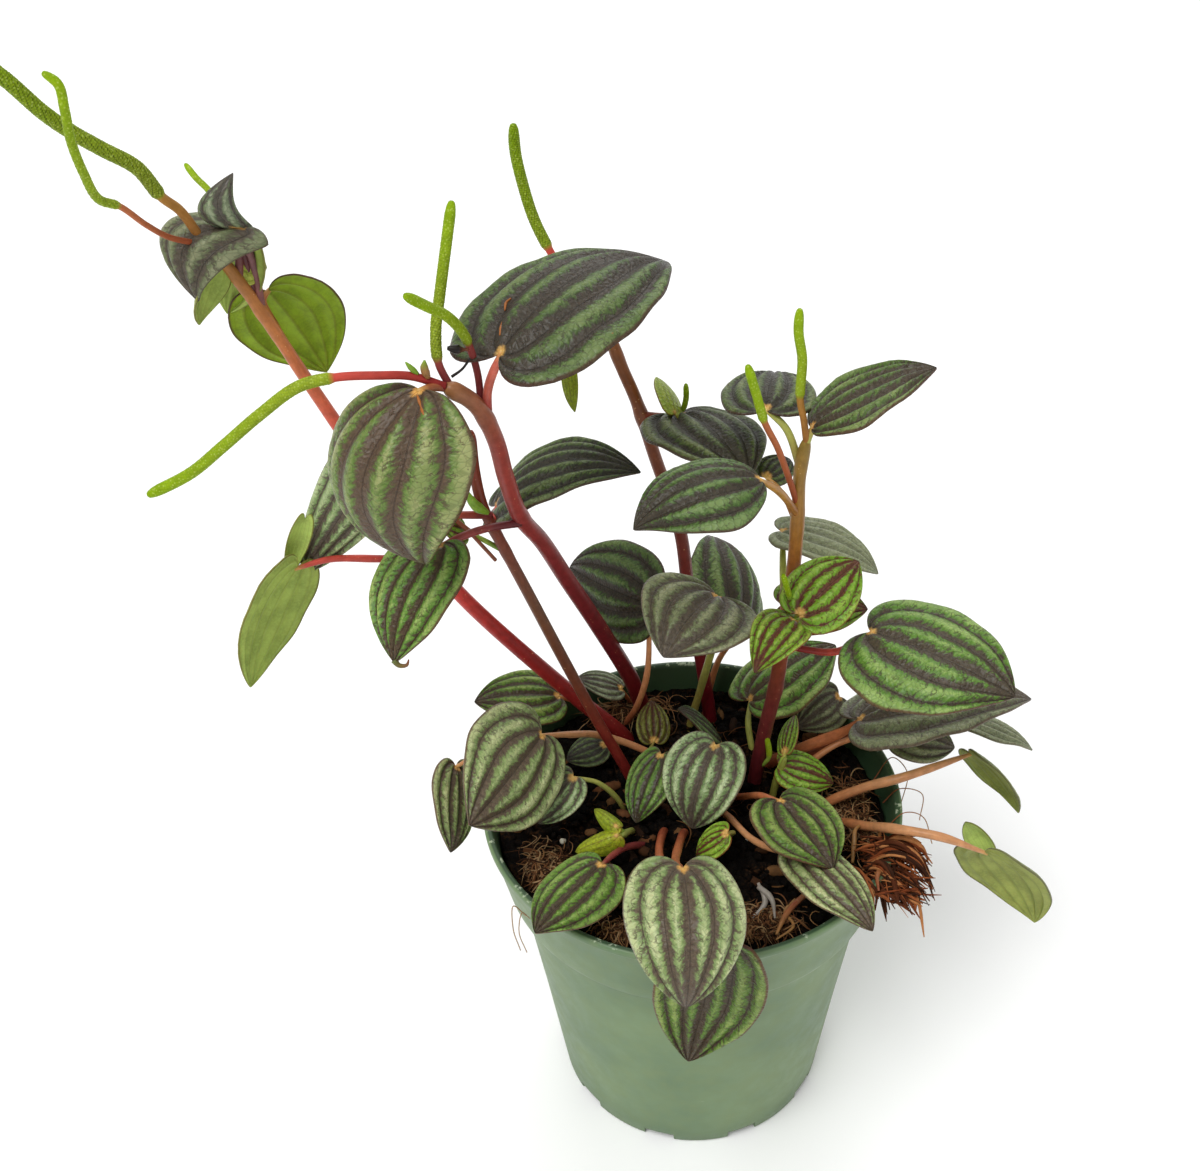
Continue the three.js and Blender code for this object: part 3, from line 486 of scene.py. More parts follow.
def tube(piece, line, radii, sides, tint):
    """A closed tube; its radii are one for each point of the line, or for each point and side.

    Its tint is one colour, or as many as its radii.
    """
    n = len(line)
    across, up = carried_frames(line)
    turn = np.arange(sides) / sides * 2 * np.pi
    ring = across[:, None] * np.cos(turn)[None, :, None] + up[:, None] * np.sin(turn)[None, :, None]
    radii = np.broadcast_to(np.asarray(radii, float).reshape(n, -1), (n, sides))
    points, faces = closed_rings(line[:, None] + ring * radii[..., None], line[0], line[-1])
    tint = np.asarray(tint, float)
    flat = np.broadcast_to(tint[:, None] if tint.ndim == 2 else tint, (n, sides, 3)).reshape(-1, 3)
    run = np.r_[0, np.cumsum(np.linalg.norm(np.diff(line, axis=0), axis=1))]
    uv = np.stack(np.broadcast_arrays(np.arange(sides)[None] / sides, run[:, None] / TUBE_UV_LENGTH), -1)
    uv = np.vstack([uv.reshape(-1, 2), uv[0, :1], uv[-1, :1]])
    piece.add(points, faces, tint=np.vstack([flat, flat[:1], flat[-1:]]), uv=uv)


def spread(values, n):
    """Values given from foot to top, spread evenly over n points."""
    values = np.asarray(values, float)
    at = np.linspace(0, len(values) - 1, n)
    if values.ndim == 1:
        return np.interp(at, np.arange(len(values)), values)
    return np.stack([np.interp(at, np.arange(len(values)), values[:, i]) for i in range(3)], 1)


def ripple(x, y, seed):
    """Soft uneven bumps about 2 mm across, from -1 to 1."""
    a = np.sin(1.9 * x + 0.7 * y + 3 * seed) * np.sin(2.3 * y - 0.8 * x + 5 * seed)
    b = np.sin(3.7 * x - 1.3 * y + 7 * seed) * np.sin(3.1 * y + 1.1 * x + 2 * seed)
    return 0.65 * a + 0.35 * b


# ---- Leaves


def blade_frame(row):
    base, tip = np.array(row.base, float), np.array(row.tip, float)
    length = np.linalg.norm(tip - base)
    along = (tip - base) / length
    level = np.cross(along, (0, 0, 1))
    level = level / np.linalg.norm(level)
    up = np.cross(level, along)
    turn = math.radians(row.roll)
    across = math.cos(turn) * level + math.sin(turn) * up
    out = -math.sin(turn) * level + math.cos(turn) * up
    return base, along, across, out, length


def vein_phase(u, along, seed):
    """A whole number at each vein, counted out from the midrib, with a slight wobble."""
    out = np.abs(u)
    wobble = VEIN_WOBBLE * np.minimum(3 * out, 1) * np.sin(0.3 * along + seed + np.sign(u))
    return VEIN_COUNT * out + VEIN_CROWDING * out**2 + wobble


def blade(piece, row, seed, paint):
    """A heart-shaped blade with bands raised between its veins.

    u runs across it and t along it; half is its outline, s bends its rows back into the lobes.
    Its top takes material number paint, its underside the next.
    """
    base, along, across, out, length = blade_frame(row)
    width = row.width
    u = np.linspace(-1, 1, BLADE_ACROSS + 1)[None, :]
    v = np.linspace(0, 1, BLADE_ROWS + 1)[:, None]
    t = v * v * (3 - 2 * v)
    half = 0.5 * np.maximum(np.sin(np.pi * t**0.8), 0) ** 0.8
    side = u * width * half
    s = t - row.lobe * np.abs(u) ** 1.6 * np.sqrt(t) * (1 - t) ** 3
    rise = np.where(s > 0, 4 * s * (1 - s), 2.4 * s)
    size = min(1, width / FULL_WIDTH)
    wave = EDGE_WAVE * size * np.abs(u) ** 4 * np.sin(0.5 * length * s + 4 * seed + 2 * np.sign(u))
    lift = row.arch * length * rise - row.cup * width * (2 * u * half) ** 2 + wave * (half * 2)
    middle = (
        base
        + along * (length * s)[..., None]
        + across * (side + row.bow * length * np.maximum(rise, 0))[..., None]
        + out * lift[..., None]
    )
    normal = unit(np.cross(np.gradient(middle, axis=1), np.gradient(middle, axis=0)))
    normal = normal * np.where((normal @ out) < 0, -1, 1)[..., None]
    normal[0] = unit(normal[1].mean(0))
    normal[-1] = unit(normal[-2].mean(0))
    ends = np.clip(half * 2 * 1.6, 0, 1)
    phase = row.veins * vein_phase(u, length * s, seed)
    band = 0.5 - 0.5 * np.cos(2 * np.pi * phase)
    quilt = QUILT_HEIGHT * row.quilt * size * band**0.7 * ends
    quilt = quilt + QUILT_RIPPLE * size * ends * ripple(side, length * s, seed) * band
    edge = np.clip((1 - np.abs(u)) * 6, 0, 1) ** 0.5
    thick = EDGE_THICKNESS + (BLADE_THICKNESS - EDGE_THICKNESS) * edge * np.clip(half * 2 * 3, 0.4, 1)
    top = middle + normal * (thick / 2 + quilt)[..., None]
    under = middle - normal * (thick / 2 - 0.85 * quilt)[..., None]
    relative = half * 2 + 0 * u
    place = np.stack([side, length * s + 0 * side, relative], -1)
    uv = np.stack(np.broadcast_arrays(phase, np.abs(u)), -1)
    rows, sides = BLADE_ROWS, BLADE_ACROSS + 1

    def sheet(surface):
        inner = surface[1:-1].reshape(-1, surface.shape[-1])
        return np.vstack([surface[0, :1], inner, surface[-1, :1]])

    points = np.vstack([sheet(top), sheet(under)])
    count = (rows - 1) * sides + 2
    last = count - 1

    def at(i, j):
        return 0 if i == 0 else last if i == rows else 1 + (i - 1) * sides + j

    upper = []
    for j in range(sides - 1):
        upper.append((0, at(1, j), at(1, j + 1)))
        upper.append((last, at(rows - 1, j + 1), at(rows - 1, j)))
        for i in range(1, rows - 1):
            upper.append((at(i, j), at(i + 1, j), at(i + 1, j + 1), at(i, j + 1)))
    a, b, c = (points[k] for k in upper[len(upper) // 2][:3])
    turned = np.dot(np.cross(b - a, c - a), normal[rows // 2, sides // 2]) < 0
    if turned:
        upper = [f[::-1] for f in upper]
    faces = upper + [tuple(k + count for k in f[::-1]) for f in upper]
    paints = [paint] * len(upper) + [paint + 1] * len(upper)
    for i in range(rows):
        for j in (0, sides - 1):
            p, q = at(i, j), at(i + 1, j)
            face = (p, p + count, q + count, q) if (j == 0) != turned else (q, q + count, p + count, p)
            faces.append(face)
            paints.append(paint)
    layers = {"uv": np.vstack([sheet(uv)] * 2), "place": np.vstack([sheet(place)] * 2)}
    tone, other = seed * 0.618 % 1, seed * 0.377 % 1
    piece.add(points, faces, paints, tint=(tone, other, 0), **layers)


def stalk(piece, row):
    base, last = np.array(row.base, float), np.array(row.stalk[-1], float)
    end = base + 0.6 * unit(base - last)
    line = curve([*row.stalk, end], STEM_PITCH)
    n = len(line)
    radii = spread([row.d, row.d, row.d, 0.9 * row.d, STALK_TIP_D], n) / 2
    radii = radii * (1 + 0.04 * np.sin(np.arange(n) * 0.37 + row.d))
    foot, end = HUES[row.hue]
    tint = spread([foot, foot, end, end, end], n)
    near = np.clip(1 - (n - 1 - np.arange(n)) * STEM_PITCH / JUNCTION_LENGTH, 0, 1)[:, None]
    tube(piece, line, radii, STALK_SIDES, tint * (1 - near) + np.array(JUNCTION) * near)


def stem(piece, row):
    line = curve(row.path, STEM_PITCH)
    n = len(line)
    radii = spread(row.d, n) / 2
    for leaf in row.leaves:
        gap = np.linalg.norm(line - np.array(leaf.stalk[0]), axis=1)
        near = gap.min() < JOINT_REACH
        swell = np.exp(-(((np.arange(n) - gap.argmin()) * STEM_PITCH / JOINT_LENGTH) ** 2))
        radii = radii * (1 + JOINT_SWELL * near * swell)
    radii[-3:] *= (0.95, 0.8, 0.5)
    tube(piece, line, radii, STEM_SIDES, spread(colours(*row.tints), n))


def spike(piece, row, seed):
    """A smooth stalk, then close-set florets in a slanting lattice, then a blunt tip."""
    line = curve(row.path, SPIKE_PITCH)
    n = len(line)
    foot = len(curve(row.path[: row.start + 1], SPIKE_PITCH))
    run = np.arange(n) * SPIKE_PITCH
    past = np.clip((run - foot * SPIKE_PITCH) / 1.2, 0, 1)
    left = np.clip((run[-1] - run) / (1.6 * row.d), 0, 1)
    radius = row.d / 2 * (0.72 * (1 - past) + past) * (0.28 + 0.72 * np.sqrt(1 - (1 - left) ** 2))
    columns = max(6, round(np.pi * row.d / FLORET_WIDTH))
    turn = np.arange(SPIKE_SIDES)[None] / SPIKE_SIDES * columns
    level = run[:, None] / FLORET_LENGTH
    slant = turn + FLORET_TWIST * level + seed
    row_shift = np.floor(level + FLORET_LEAN * turn) % 2 * 0.5
    dx = (slant + row_shift) % 1 - 0.5
    dy = (level + FLORET_LEAN * turn) % 1 - 0.5
    dome = np.clip(1 - 3.2 * (dx**2 + dy**2), 0, 1)
    grain = spread(row.grain, n)[:, None] * past[:, None]
    radii = radius[:, None] + FLORET_RELIEF * grain * (dome - 0.45)
    ripe = np.linspace(0, 1, n)[:, None, None]
    full = (1 - ripe) * np.array(SPIKE_RIPE) + ripe * np.array(SPIKE_YOUNG)
    # Painted shade: the gaps between the florets darken towards the gap colour.
    gap = (1 - grain[..., None]) * full + grain[..., None] * np.array(SPIKE_GAP_SHADE)
    mixed = gap + (full - gap) * (dome[..., None] ** 0.8)
    stalk_foot, stalk_end = HUES[row.hue]
    up = np.clip(run / max(foot * SPIKE_PITCH, SPIKE_PITCH), 0, 1)[:, None]
    plain = np.array(stalk_foot) * (1 - up) + np.array(stalk_end) * up
    tint = plain[:, None] * (1 - past[:, None, None]) + mixed * past[:, None, None]
    tube(piece, line, radii, SPIKE_SIDES, tint)


# ---- Materials


class Value:
    """One output of a node; + - * on it make math nodes."""

    def __init__(self, shade, socket):
        self.shade, self.socket = shade, socket

    def __add__(self, other):
        return self.shade.math("ADD", self, other)

    def __sub__(self, other):
        return self.shade.math("SUBTRACT", self, other)

    def __mul__(self, other):
        return self.shade.math("MULTIPLY", self, other)

    __rmul__ = __mul__


class Shade:
    """A node material, with short calls for the nodes it uses."""

    def __init__(self, name, **constants):
        self.material = bpy.data.materials.new(name)
        self.material.use_nodes = True
        self.tree = self.material.node_tree
        self.tree.nodes.clear()
        self.shader = self.tree.nodes.new("ShaderNodeBsdfPrincipled")
        output = self.tree.nodes.new("ShaderNodeOutputMaterial")
        self.tree.links.new(self.shader.outputs["BSDF"], output.inputs["Surface"])
        self.finish(**constants)

    def put(self, socket, value):
        if isinstance(value, Value):
            self.tree.links.new(value.socket, socket)
        elif isinstance(value, tuple) and socket.type == "RGBA":
            socket.default_value = (*value, 1)
        else:
            socket.default_value = value

    def new(self, kind, inputs=(), **settings):
        """The outputs of a new node, with its inputs given by index or name."""
        node = self.tree.nodes.new("ShaderNode" + kind)
        for name, value in settings.items():
            setattr(node, name, value)
        for socket, value in dict(inputs).items():
            self.put(node.inputs[socket], value)
        return [Value(self, socket) for socket in node.outputs]

    def math(self, operation, *values):
        return self.new("Math", enumerate(values), operation=operation)[0]

    def step(self, value, low, high, start=0.0, end=1.0):
        """Smoothly from start at low to end at high."""
        if low > high:
            low, high, start, end = high, low, end, start
        given = enumerate((value, low, high, start, end))
        return self.new("MapRange", given, interpolation_type="SMOOTHSTEP")[0]

    def mix(self, factor, a, b, blend="MIX"):
        given = {0: factor, 6: a, 7: b}
        return self.new("Mix", given, data_type="RGBA", blend_type=blend)[2]

    def combine(self, *parts):
        return self.new("CombineXYZ", enumerate(parts))[0]

    def parts(self, vector):
        return self.new("SeparateXYZ", {0: vector})

    def attribute(self, name):
        """The colour and the vector of a point attribute."""
        return self.new("Attribute", attribute_name=name)[:2]

    def blade_layers(self):
        """What blade() stores: (side, along, half), (tone, other) and (phase, out)."""
        place, tint = self.attribute("place")[1], self.attribute("tint")[1]
        return *self.parts(place), *self.parts(tint)[:2], *self.parts(self.new("UVMap", uv_map="uv")[0])[:2]

    def local(self):
        """Object coordinates in mm."""
        place = self.new("TexCoord")[3]
        return self.new("VectorMath", {0: place, "Scale": 1 / MM}, operation="SCALE")[0]

    def noise(self, vector, scale=1.0, detail=2.0, roughness=0.5, distortion=0.0):
        given = {"Scale": scale, "Detail": detail, "Roughness": roughness, "Distortion": distortion}
        return self.new("TexNoise", {"Vector": vector, **given})[0]

    def waver(self, *given):
        """Noise about zero."""
        return self.noise(*given) - 0.5

    def cells(self, vector, scale, feature="F1"):
        return self.new("TexVoronoi", {"Vector": vector, "Scale": scale}, feature=feature)[0]

    def bump(self, height, strength, distance_mm):
        given = {"Strength": strength, "Distance": distance_mm * MM, "Height": height}
        return self.new("Bump", given)[0]

    def finish(self, **inputs):
        for socket, value in inputs.items():
            self.put(self.shader.inputs[socket.replace("_", " ")], value)
        return self.material


def leaf_top(name, pale, green, vein, margin, reach):
    """Dark veins with jagged edges, bands of netted green between them, a thin brown margin."""
    m = Shade(name, Specular_IOR_Level=0.3, Subsurface_Weight=0.05, Subsurface_Scale=0.8 * MM)
    side, along, half, tone, other, phase, out = m.blade_layers()
    ribs = m.math("PINGPONG", phase, 0.5)
    between = ribs * 2.0 * half
    strip = m.math("FLOOR", phase * 2.0) * 7.3
    strip = strip + (m.math("SIGN", side) * 31.0 + tone * TONE_SHIFT)
    slant = m.math("MULTIPLY_ADD", between, -BRANCH_SLANT, along)
    where = m.combine(side, along + tone * TONE_SHIFT, other * 40.0)
    wander = m.waver(where, 0.45, 3.0, 0.6)
    feathers = m.waver(m.combine(between * 1.2, slant, strip), 1.2, 3.0, 0.65)
    mottle = m.waver(where, 1.5, 3.0, 0.7)
    patch = m.noise(where, 0.13, 2.0)
    edge = between + (feathers + wander * 0.6)
    edge = edge + m.step(out, 0.1, 0.8, -0.16, 0.16)
    veined = m.step(edge, reach[1], reach[0])
    branch = m.math("PINGPONG", slant * (1 / BRANCH_PITCH) + wander * 3.4, 0.5) + feathers * 0.3
    branch = m.step(branch, 0.13, 0.03) * m.step(between + wander * 1.6, 1.12, 0.6)
    cell = m.cells(m.combine(side, along + tone * TONE_SHIFT, other * 9.0), 0.85, "DISTANCE_TO_EDGE")
    light = m.step(edge + mottle * 0.5, 0.42, 0.95) * m.step(patch, 0.36, 0.6, 0.45, 1.0)
    colour = m.mix(light, green, pale)
    colour = m.mix(m.step(cell, 0.11, 0.02) * 0.32, colour, toned(green, 0.35))
    colour = m.mix(branch * 0.7, colour, vein)
    band = m.mix(m.step(mottle, -0.15, 0.2), toned(vein, 0.8), toned(vein, 1.3))
    colour = m.mix(veined * 0.96, colour, band)
    line = m.step(ribs * half, 0.035, 0.005)
    colour = m.mix(line * 0.6, colour, toned(vein, 0.4))
    rim = m.step(out + wander * 0.03, 0.955, 0.985)
    colour = m.mix(rim * 0.85, colour, margin)
    near = m.math("SQRT", side * side + along * along)
    spot = FAINT_SPOT if reach[1] < FAINT_REACH else 1.0
    colour = m.mix(m.step(near + feathers * 1.2, 1.5, 0.6, 0.0, spot), colour, JUNCTION)
    warm = m.step(other, 0.0, 1.0, 1.0, 1.12)
    shade = m.step(tone, 0.0, 1.0, 0.88, 1.1)
    colour = m.mix(1.0, colour, m.combine(shade * warm, shade, m.math("DIVIDE", shade, warm)), "MULTIPLY")
    relief = m.step(cell, 0.0, 0.4) * 0.6 + mottle * 0.4 + branch * -0.7 + line * -0.5
    gloss = m.step(mottle, -0.2, 0.2, 0.34, 0.48)
    return m.finish(Base_Color=colour, Roughness=gloss, Normal=m.bump(relief, 0.7, 0.25))


def leaf_under(name, base, vein, margin, strength):
    """The underside: an even green, clouded and grained, with veins in a darker tone."""
    m = Shade(name, Specular_IOR_Level=0.15, Subsurface_Weight=0.08, Subsurface_Scale=1.0 * MM)
    side, along, half, tone, other, phase, out = m.blade_layers()
    where = m.combine(side, along + tone * TONE_SHIFT, other * 40.0)
    ribs = m.math("PINGPONG", phase, 0.5)
    soft = m.waver(where, 0.2, 3.0)
    grain = m.waver(where, 1.8, 3.0, 0.6)
    colour = m.mix(m.step(soft, -0.15, 0.15), toned(base, 0.76), toned(base, 1.08))
    colour = m.mix(m.step(grain, -0.1, 0.2, 0.0, 0.3), colour, toned(base, 1.4))
    line = m.step(ribs * half + grain * 0.06, 0.12, 0.02)
    colour = m.mix(line * strength, colour, vein)
    branch = m.step(m.cells(where, 0.4, "DISTANCE_TO_EDGE"), 0.06, 0.0)
    colour = m.mix(branch * (0.4 * strength), colour, vein)
    colour = m.mix(m.step(out, 0.95, 0.985, 0.0, 0.85), colour, margin)
    gloss = m.step(grain, -0.2, 0.2, 0.45, 0.58)
    return m.finish(Base_Color=colour, Roughness=gloss, Normal=m.bump(line * 0.6 + grain, 0.5, 0.2))


def tinted(name, streaks, speckles, rough, bump_mm, shine=0.3, dots=0):
    """A skin coloured point by point, with fine streaks, pale specks and, if asked, dots per mm."""
    m = Shade(name, Specular_IOR_Level=shine, Subsurface_Weight=0.05, Subsurface_Scale=0.6 * MM)
    tint = m.attribute("tint")[0]
    place = m.local()
    soft = m.noise(place, 0.5, 3.0, 0.6)
    fine = m.noise(place, 3.2, 3.0, 0.6)
    round_it, up_it, _ = m.parts(m.new("UVMap", uv_map="uv")[0])
    grain = m.noise(m.combine(round_it * 9.0, up_it * 22.0, 0.0), 1.6, 3.0, 0.6)
    level = m.step(soft * 0.6 + grain * 0.4, 0.3, 0.7, 1 - streaks, 1 + streaks)
    colour = m.mix(1.0, tint, m.combine(level, level, level), "MULTIPLY")
    speck = m.step(m.cells(place, 0.9), 0.16, 0.06) * m.step(soft, 0.5, 0.62)
    colour = m.mix(speck * speckles, colour, srgb(222, 178, 120))
    if dots:
        red, green, _ = m.parts(tint)
        on_green = m.step(green - red, 0.0, 0.04, 0.0, 0.42)
        colour = m.mix(m.step(m.cells(place, dots), 0.4, 0.18) * on_green, colour, SPIKE_DOT)
    relief = fine * 0.5 + grain * 0.5
    gloss = m.step(fine, 0.3, 0.7, rough - 0.06, rough + 0.1)
    return m.finish(Base_Color=colour, Roughness=gloss, Normal=m.bump(relief, 0.4, bump_mm))


def pot_plastic():
    """Satin sage green plastic with soft clouding, fine scuffs, pale edge wear, a painted rim highlight and
    painted shade.
    """
    m = Shade("pot_plastic", Specular_IOR_Level=0.45)
    place = m.local()
    x, y, z = m.parts(place)
    cloud = m.noise(place, 0.035, 4.0, 0.55)
    soft = m.noise(place, 0.22, 4.0, 0.6)
    fine = m.noise(place, 2.4, 3.0, 0.6)
    scuffs = m.noise(m.combine(x * 0.25, y * 0.25, z * 1.6), 1.2, 4.0, 0.7, 0.6)
    colour = m.mix(m.step(cloud, 0.3, 0.7), srgb(92, 119, 83), srgb(113, 137, 95))
    colour = m.mix(m.step(soft, 0.35, 0.75, 0.0, 0.35), colour, srgb(126, 139, 96))
    colour = m.mix(m.step(scuffs, 0.66, 0.78, 0.0, 0.25), colour, srgb(176, 190, 172))
    # Painted shade: darker towards the bottom, near the floor.
    colour = m.mix(m.step(z, 12.0, 0.0, 0.0, 0.35), colour, srgb(84, 107, 76))
    radius = m.math("SQRT", x * x + y * y)
    # Painted shade: the inner face of the wall, above the mix, is darkened.
    inside_shade = m.step(radius - m.math("MULTIPLY_ADD", z, 0.19, 33.4), 0.3, -0.3) * m.step(z, 78.0, 79.0)
    colour = m.mix(inside_shade * 0.85, colour, srgb(38, 64, 42))
    # Pale edges: real wear, and on the rim's top also a painted highlight.
    edge = m.math("MAXIMUM", m.step(z, 94.4, 94.9), m.step(z, 0.9, 0.1))
    wear_and_rim_highlight = edge * m.step(m.noise(place, 0.32, 3.0, 0.7), 0.55, 0.63)
    colour = m.mix(wear_and_rim_highlight * 0.7, colour, srgb(200, 212, 184))
    rough = m.step(soft, 0.3, 0.7, 0.42, 0.55)
    return m.finish(Base_Color=colour, Roughness=rough, Normal=m.bump(fine * 0.4 + scuffs * 0.6, 0.3, 0.12))


def wet_mix():
    """Black wet peat with brown fibre and bark colours, in crumbs."""
    m = Shade("wet_mix", Specular_IOR_Level=0.07)
    place = m.local()
    fine = m.noise(place, 1.3, 5.0, 0.7)
    soft = m.noise(place, 0.12, 3.0, 0.6)
    colour = m.mix(m.step(fine, 0.35, 0.75), srgb(3, 2, 2), srgb(22, 15, 9))
    colour = m.mix(m.step(soft, 0.5, 0.72) * m.step(fine, 0.45, 0.7), colour, srgb(80, 52, 30))
    rough = m.step(fine, 0.3, 0.7, 0.5, 0.95)
    relief = m.cells(place, 0.5) * -0.8 + fine
    return m.finish(Base_Color=colour, Roughness=rough, Normal=m.bump(relief, 0.9, 0.7))


# ---- Colours

JUNCTION = srgb(206, 164, 92)
SPIKE_RIPE = srgb(156, 170, 52)
SPIKE_YOUNG = srgb(138, 170, 12)
# Painted shade in the gaps between the florets.
SPIKE_GAP_SHADE = srgb(46, 58, 2)
SPIKE_DOT = srgb(196, 212, 104)
TAN, SILVER, CHAR = colours((150, 108, 62), (150, 142, 132), (26, 18, 16))
LIME, WINE, RUST, PLUM = colours((122, 158, 48), (122, 44, 42), (134, 74, 48), (104, 58, 60))
BUD_GREEN, SCAR, BUD_RED = colours((92, 104, 48), (164, 98, 44), (176, 72, 52))
COIR_TINTS = colours((70, 44, 26), (104, 68, 42), (50, 30, 18), (134, 98, 64), (152, 122, 88))
BARK_TINTS = colours((60, 36, 20), (92, 58, 34), (40, 24, 14), (98, 68, 40))
RIM_TINTS = colours((112, 56, 28), (142, 80, 44), (78, 40, 22), (168, 112, 68), (54, 30, 18))
PERLITE_TINTS = colours((196, 190, 172))
HUES = {
    # a stalk's colours at its foot and at its end
    "rust": colours((142, 70, 44), (180, 106, 66)),
    "orange": colours((164, 94, 58), (194, 130, 86)),
    "coral": colours((170, 72, 66), (204, 104, 86)),
    "red": colours((130, 38, 36), (190, 74, 62)),
    "wine": colours((96, 34, 38), (140, 62, 58)),
    "plum": colours((128, 78, 74), (126, 84, 86)),
    "brown": colours((122, 52, 34), (150, 84, 48)),
    "tan": colours((150, 100, 50), (172, 124, 60)),
    "peach": colours((168, 106, 66), (194, 138, 94)),
    "olive": colours((140, 128, 62), (164, 166, 84)),
    "lime": colours((120, 150, 52), (150, 178, 70)),
}
UNDERSIDES = {
    # green, vein, margin, how strong the veins are
    "olive": ((138, 166, 40), (96, 88, 28), (84, 58, 34), 0.42),
    "plain": ((164, 184, 92), (134, 152, 66), (110, 112, 56), 0.35),
    "green": ((128, 146, 66), (92, 84, 46), (88, 54, 40), 0.5),
    "sage": ((146, 154, 80), (118, 130, 68), (104, 106, 60), 0.3),
}
LOOKS = {
    # band's pale middle, band's green, vein, margin, how far out the veins reach, underside
    "silver": ((186, 200, 152), (120, 146, 90), (86, 74, 64), (96, 72, 60), (0.2, 0.5), "green"),
    "vivid": ((158, 188, 106), (92, 140, 50), (78, 62, 48), (96, 60, 44), (0.18, 0.44), "green"),
    "green": ((138, 164, 88), (82, 120, 38), (70, 58, 47), (90, 56, 44), (0.2, 0.48), "green"),
    "deep": ((112, 134, 80), (66, 96, 38), (62, 54, 45), (74, 48, 38), (0.3, 0.64), "green"),
    "shady": ((104, 122, 72), (62, 88, 36), (60, 52, 44), (74, 48, 38), (0.34, 0.68), "green"),
    "haze": ((142, 154, 106), (84, 116, 52), (80, 66, 56), (84, 58, 46), (0.24, 0.56), "green"),
    "dusky": ((112, 126, 80), (68, 88, 42), (58, 54, 46), (70, 52, 42), (0.3, 0.62), "green"),
    "grey": ((146, 156, 126), (104, 118, 86), (82, 76, 68), (92, 78, 66), (0.24, 0.56), "green"),
    "lime": ((150, 182, 72), (106, 150, 32), (92, 48, 36), (130, 62, 42), (0.16, 0.4), "green"),
    "mist": ((150, 164, 136), (134, 148, 118), (112, 122, 98), (110, 112, 92), (0.1, 0.4), "sage"),
    "plain": ((172, 186, 92), (154, 172, 68), (126, 146, 54), (118, 120, 54), (0.0, 0.1), "plain"),
    "olive": ((124, 126, 54), (88, 92, 34), (72, 42, 26), (74, 40, 30), (0.16, 0.42), "olive"),
    "bud": ((158, 174, 52), (138, 158, 32), (122, 126, 30), (134, 104, 44), (0.0, 0.08), "olive"),
    "sage": ((152, 162, 104), (134, 146, 86), (118, 128, 74), (104, 104, 62), (0.0, 0.12), "sage"),
}

skin = tinted("waxy_stem", 0.2, 0.75, 0.36, 0.12)
spike_skin = tinted("floret_skin", 0.14, 0.0, 0.5, 0.08, 0.12, dots=1.7)
fibre = tinted("coir_fibre", 0.3, 0.0, 0.8, 0.1, 0.1)
mix = wet_mix()
undersides = {
    name: leaf_under("underside_" + name, *colours(*row), strength)
    for name, (*row, strength) in UNDERSIDES.items()
}
leaf_looks = {
    name: (leaf_top("leaf_" + name, *colours(*row), reach), undersides[under])
    for name, (*row, reach, under) in LOOKS.items()
}

# ---- Pot, mix and coir

POT_PROFILE = [
    (0, 0), (30, 0), (35.2, 0.02), (35.8, 0.35), (36.1, 0.9), (40.2, 36), (44.6, 70.4), (45, 71.6),
    (45.7, 72.7), (46.8, 73.6), (47.5, 74.4), (48, 75.8), (49.8, 85), (51.3, 92.2), (51.6, 92.9),
    (52, 93.4), (52, 94.4), (51.8, 94.8), (51.3, 95), (50.7, 95), (50.3, 94.7), (50, 94), (48.6, 86),
    (46.8, 76.6), (46.3, 75.4), (44.8, 74), (44, 72.8), (39.4, 36), (34.6, 2.4), (34, 2), (20, 2), (0, 2),
]
POT_FLOOR_Z = 2
SLOT_COUNT = 10
SLOT_WIDTH = 8
SLOT_RADII = (29, 41)
SLOT_Z = (-2, 3)
SLOT_EDGE = 0.35
BOX_SIDES = [(0, 1, 3, 2), (4, 6, 7, 5), (0, 4, 5, 1), (2, 3, 7, 6), (0, 2, 6, 4), (1, 5, 7, 3)]
MIX_WALL = [(34.1, 2.3), (38.9, 36), (43.5, 73.2), (46.1, 75.6), (47.9, 84)]
MIX_SEGMENTS = 200
MIX_RINGS = 90
MIX_OVERLAP = 1.012  # the mix reaches this far into the pot's wall
MIX_SINK = 0.2


def pot(name):
    line = []
    for (r0, z0), (r1, z1) in zip(POT_PROFILE, POT_PROFILE[1:]):
        cuts = max(1, round(math.hypot(r1 - r0, z1 - z0) / POT_PITCH))
        line += [(r0 + (r1 - r0) * k / cuts, z0 + (z1 - z0) * k / cuts) for k in range(cuts)]
    rings = [circle(r, z, POT_SEGMENTS) for r, z in line[1:]]
    piece = Piece()
    piece.add(*closed_rings(rings, (0, 0, 0), (0, 0, POT_FLOOR_Z)))
    thing = piece.make(name, [pot_plastic()], ["pot"])
    cutter = Piece()
    for i in range(SLOT_COUNT):
        angle = i / SLOT_COUNT * 2 * math.pi
        out = np.array((math.cos(angle), math.sin(angle), 0))
        across = np.array((-math.sin(angle), math.cos(angle), 0))
        corners = [
            out * r + across * w * SLOT_WIDTH / 2 + np.array((0, 0, z))
            for z in SLOT_Z for r in SLOT_RADII for w in (-1, 1)
        ]
        cutter.add(corners, BOX_SIDES)
    knife = cutter.make("slot_cutter", [])
    cut = thing.modifiers.new("slots", "BOOLEAN")
    cut.operation, cut.solver, cut.object = "DIFFERENCE", "EXACT", knife
    bevel = thing.modifiers.new("slot_edges", "BEVEL")
    bevel.width, bevel.segments, bevel.limit_method = SLOT_EDGE * MM, 2, "ANGLE"
    bevel.angle_limit = math.radians(50)
    apply_modifiers(thing)
    bpy.data.objects.remove(knife)
    sharp = thing.modifiers.new("edges", "EDGE_SPLIT")
    sharp.split_angle = math.radians(55)
    apply_modifiers(thing)


def apply_modifiers(thing):
    graph = bpy.context.evaluated_depsgraph_get()
    mesh = bpy.data.meshes.new_from_object(thing.evaluated_get(graph))
    thing.modifiers.clear()
    thing.data = mesh


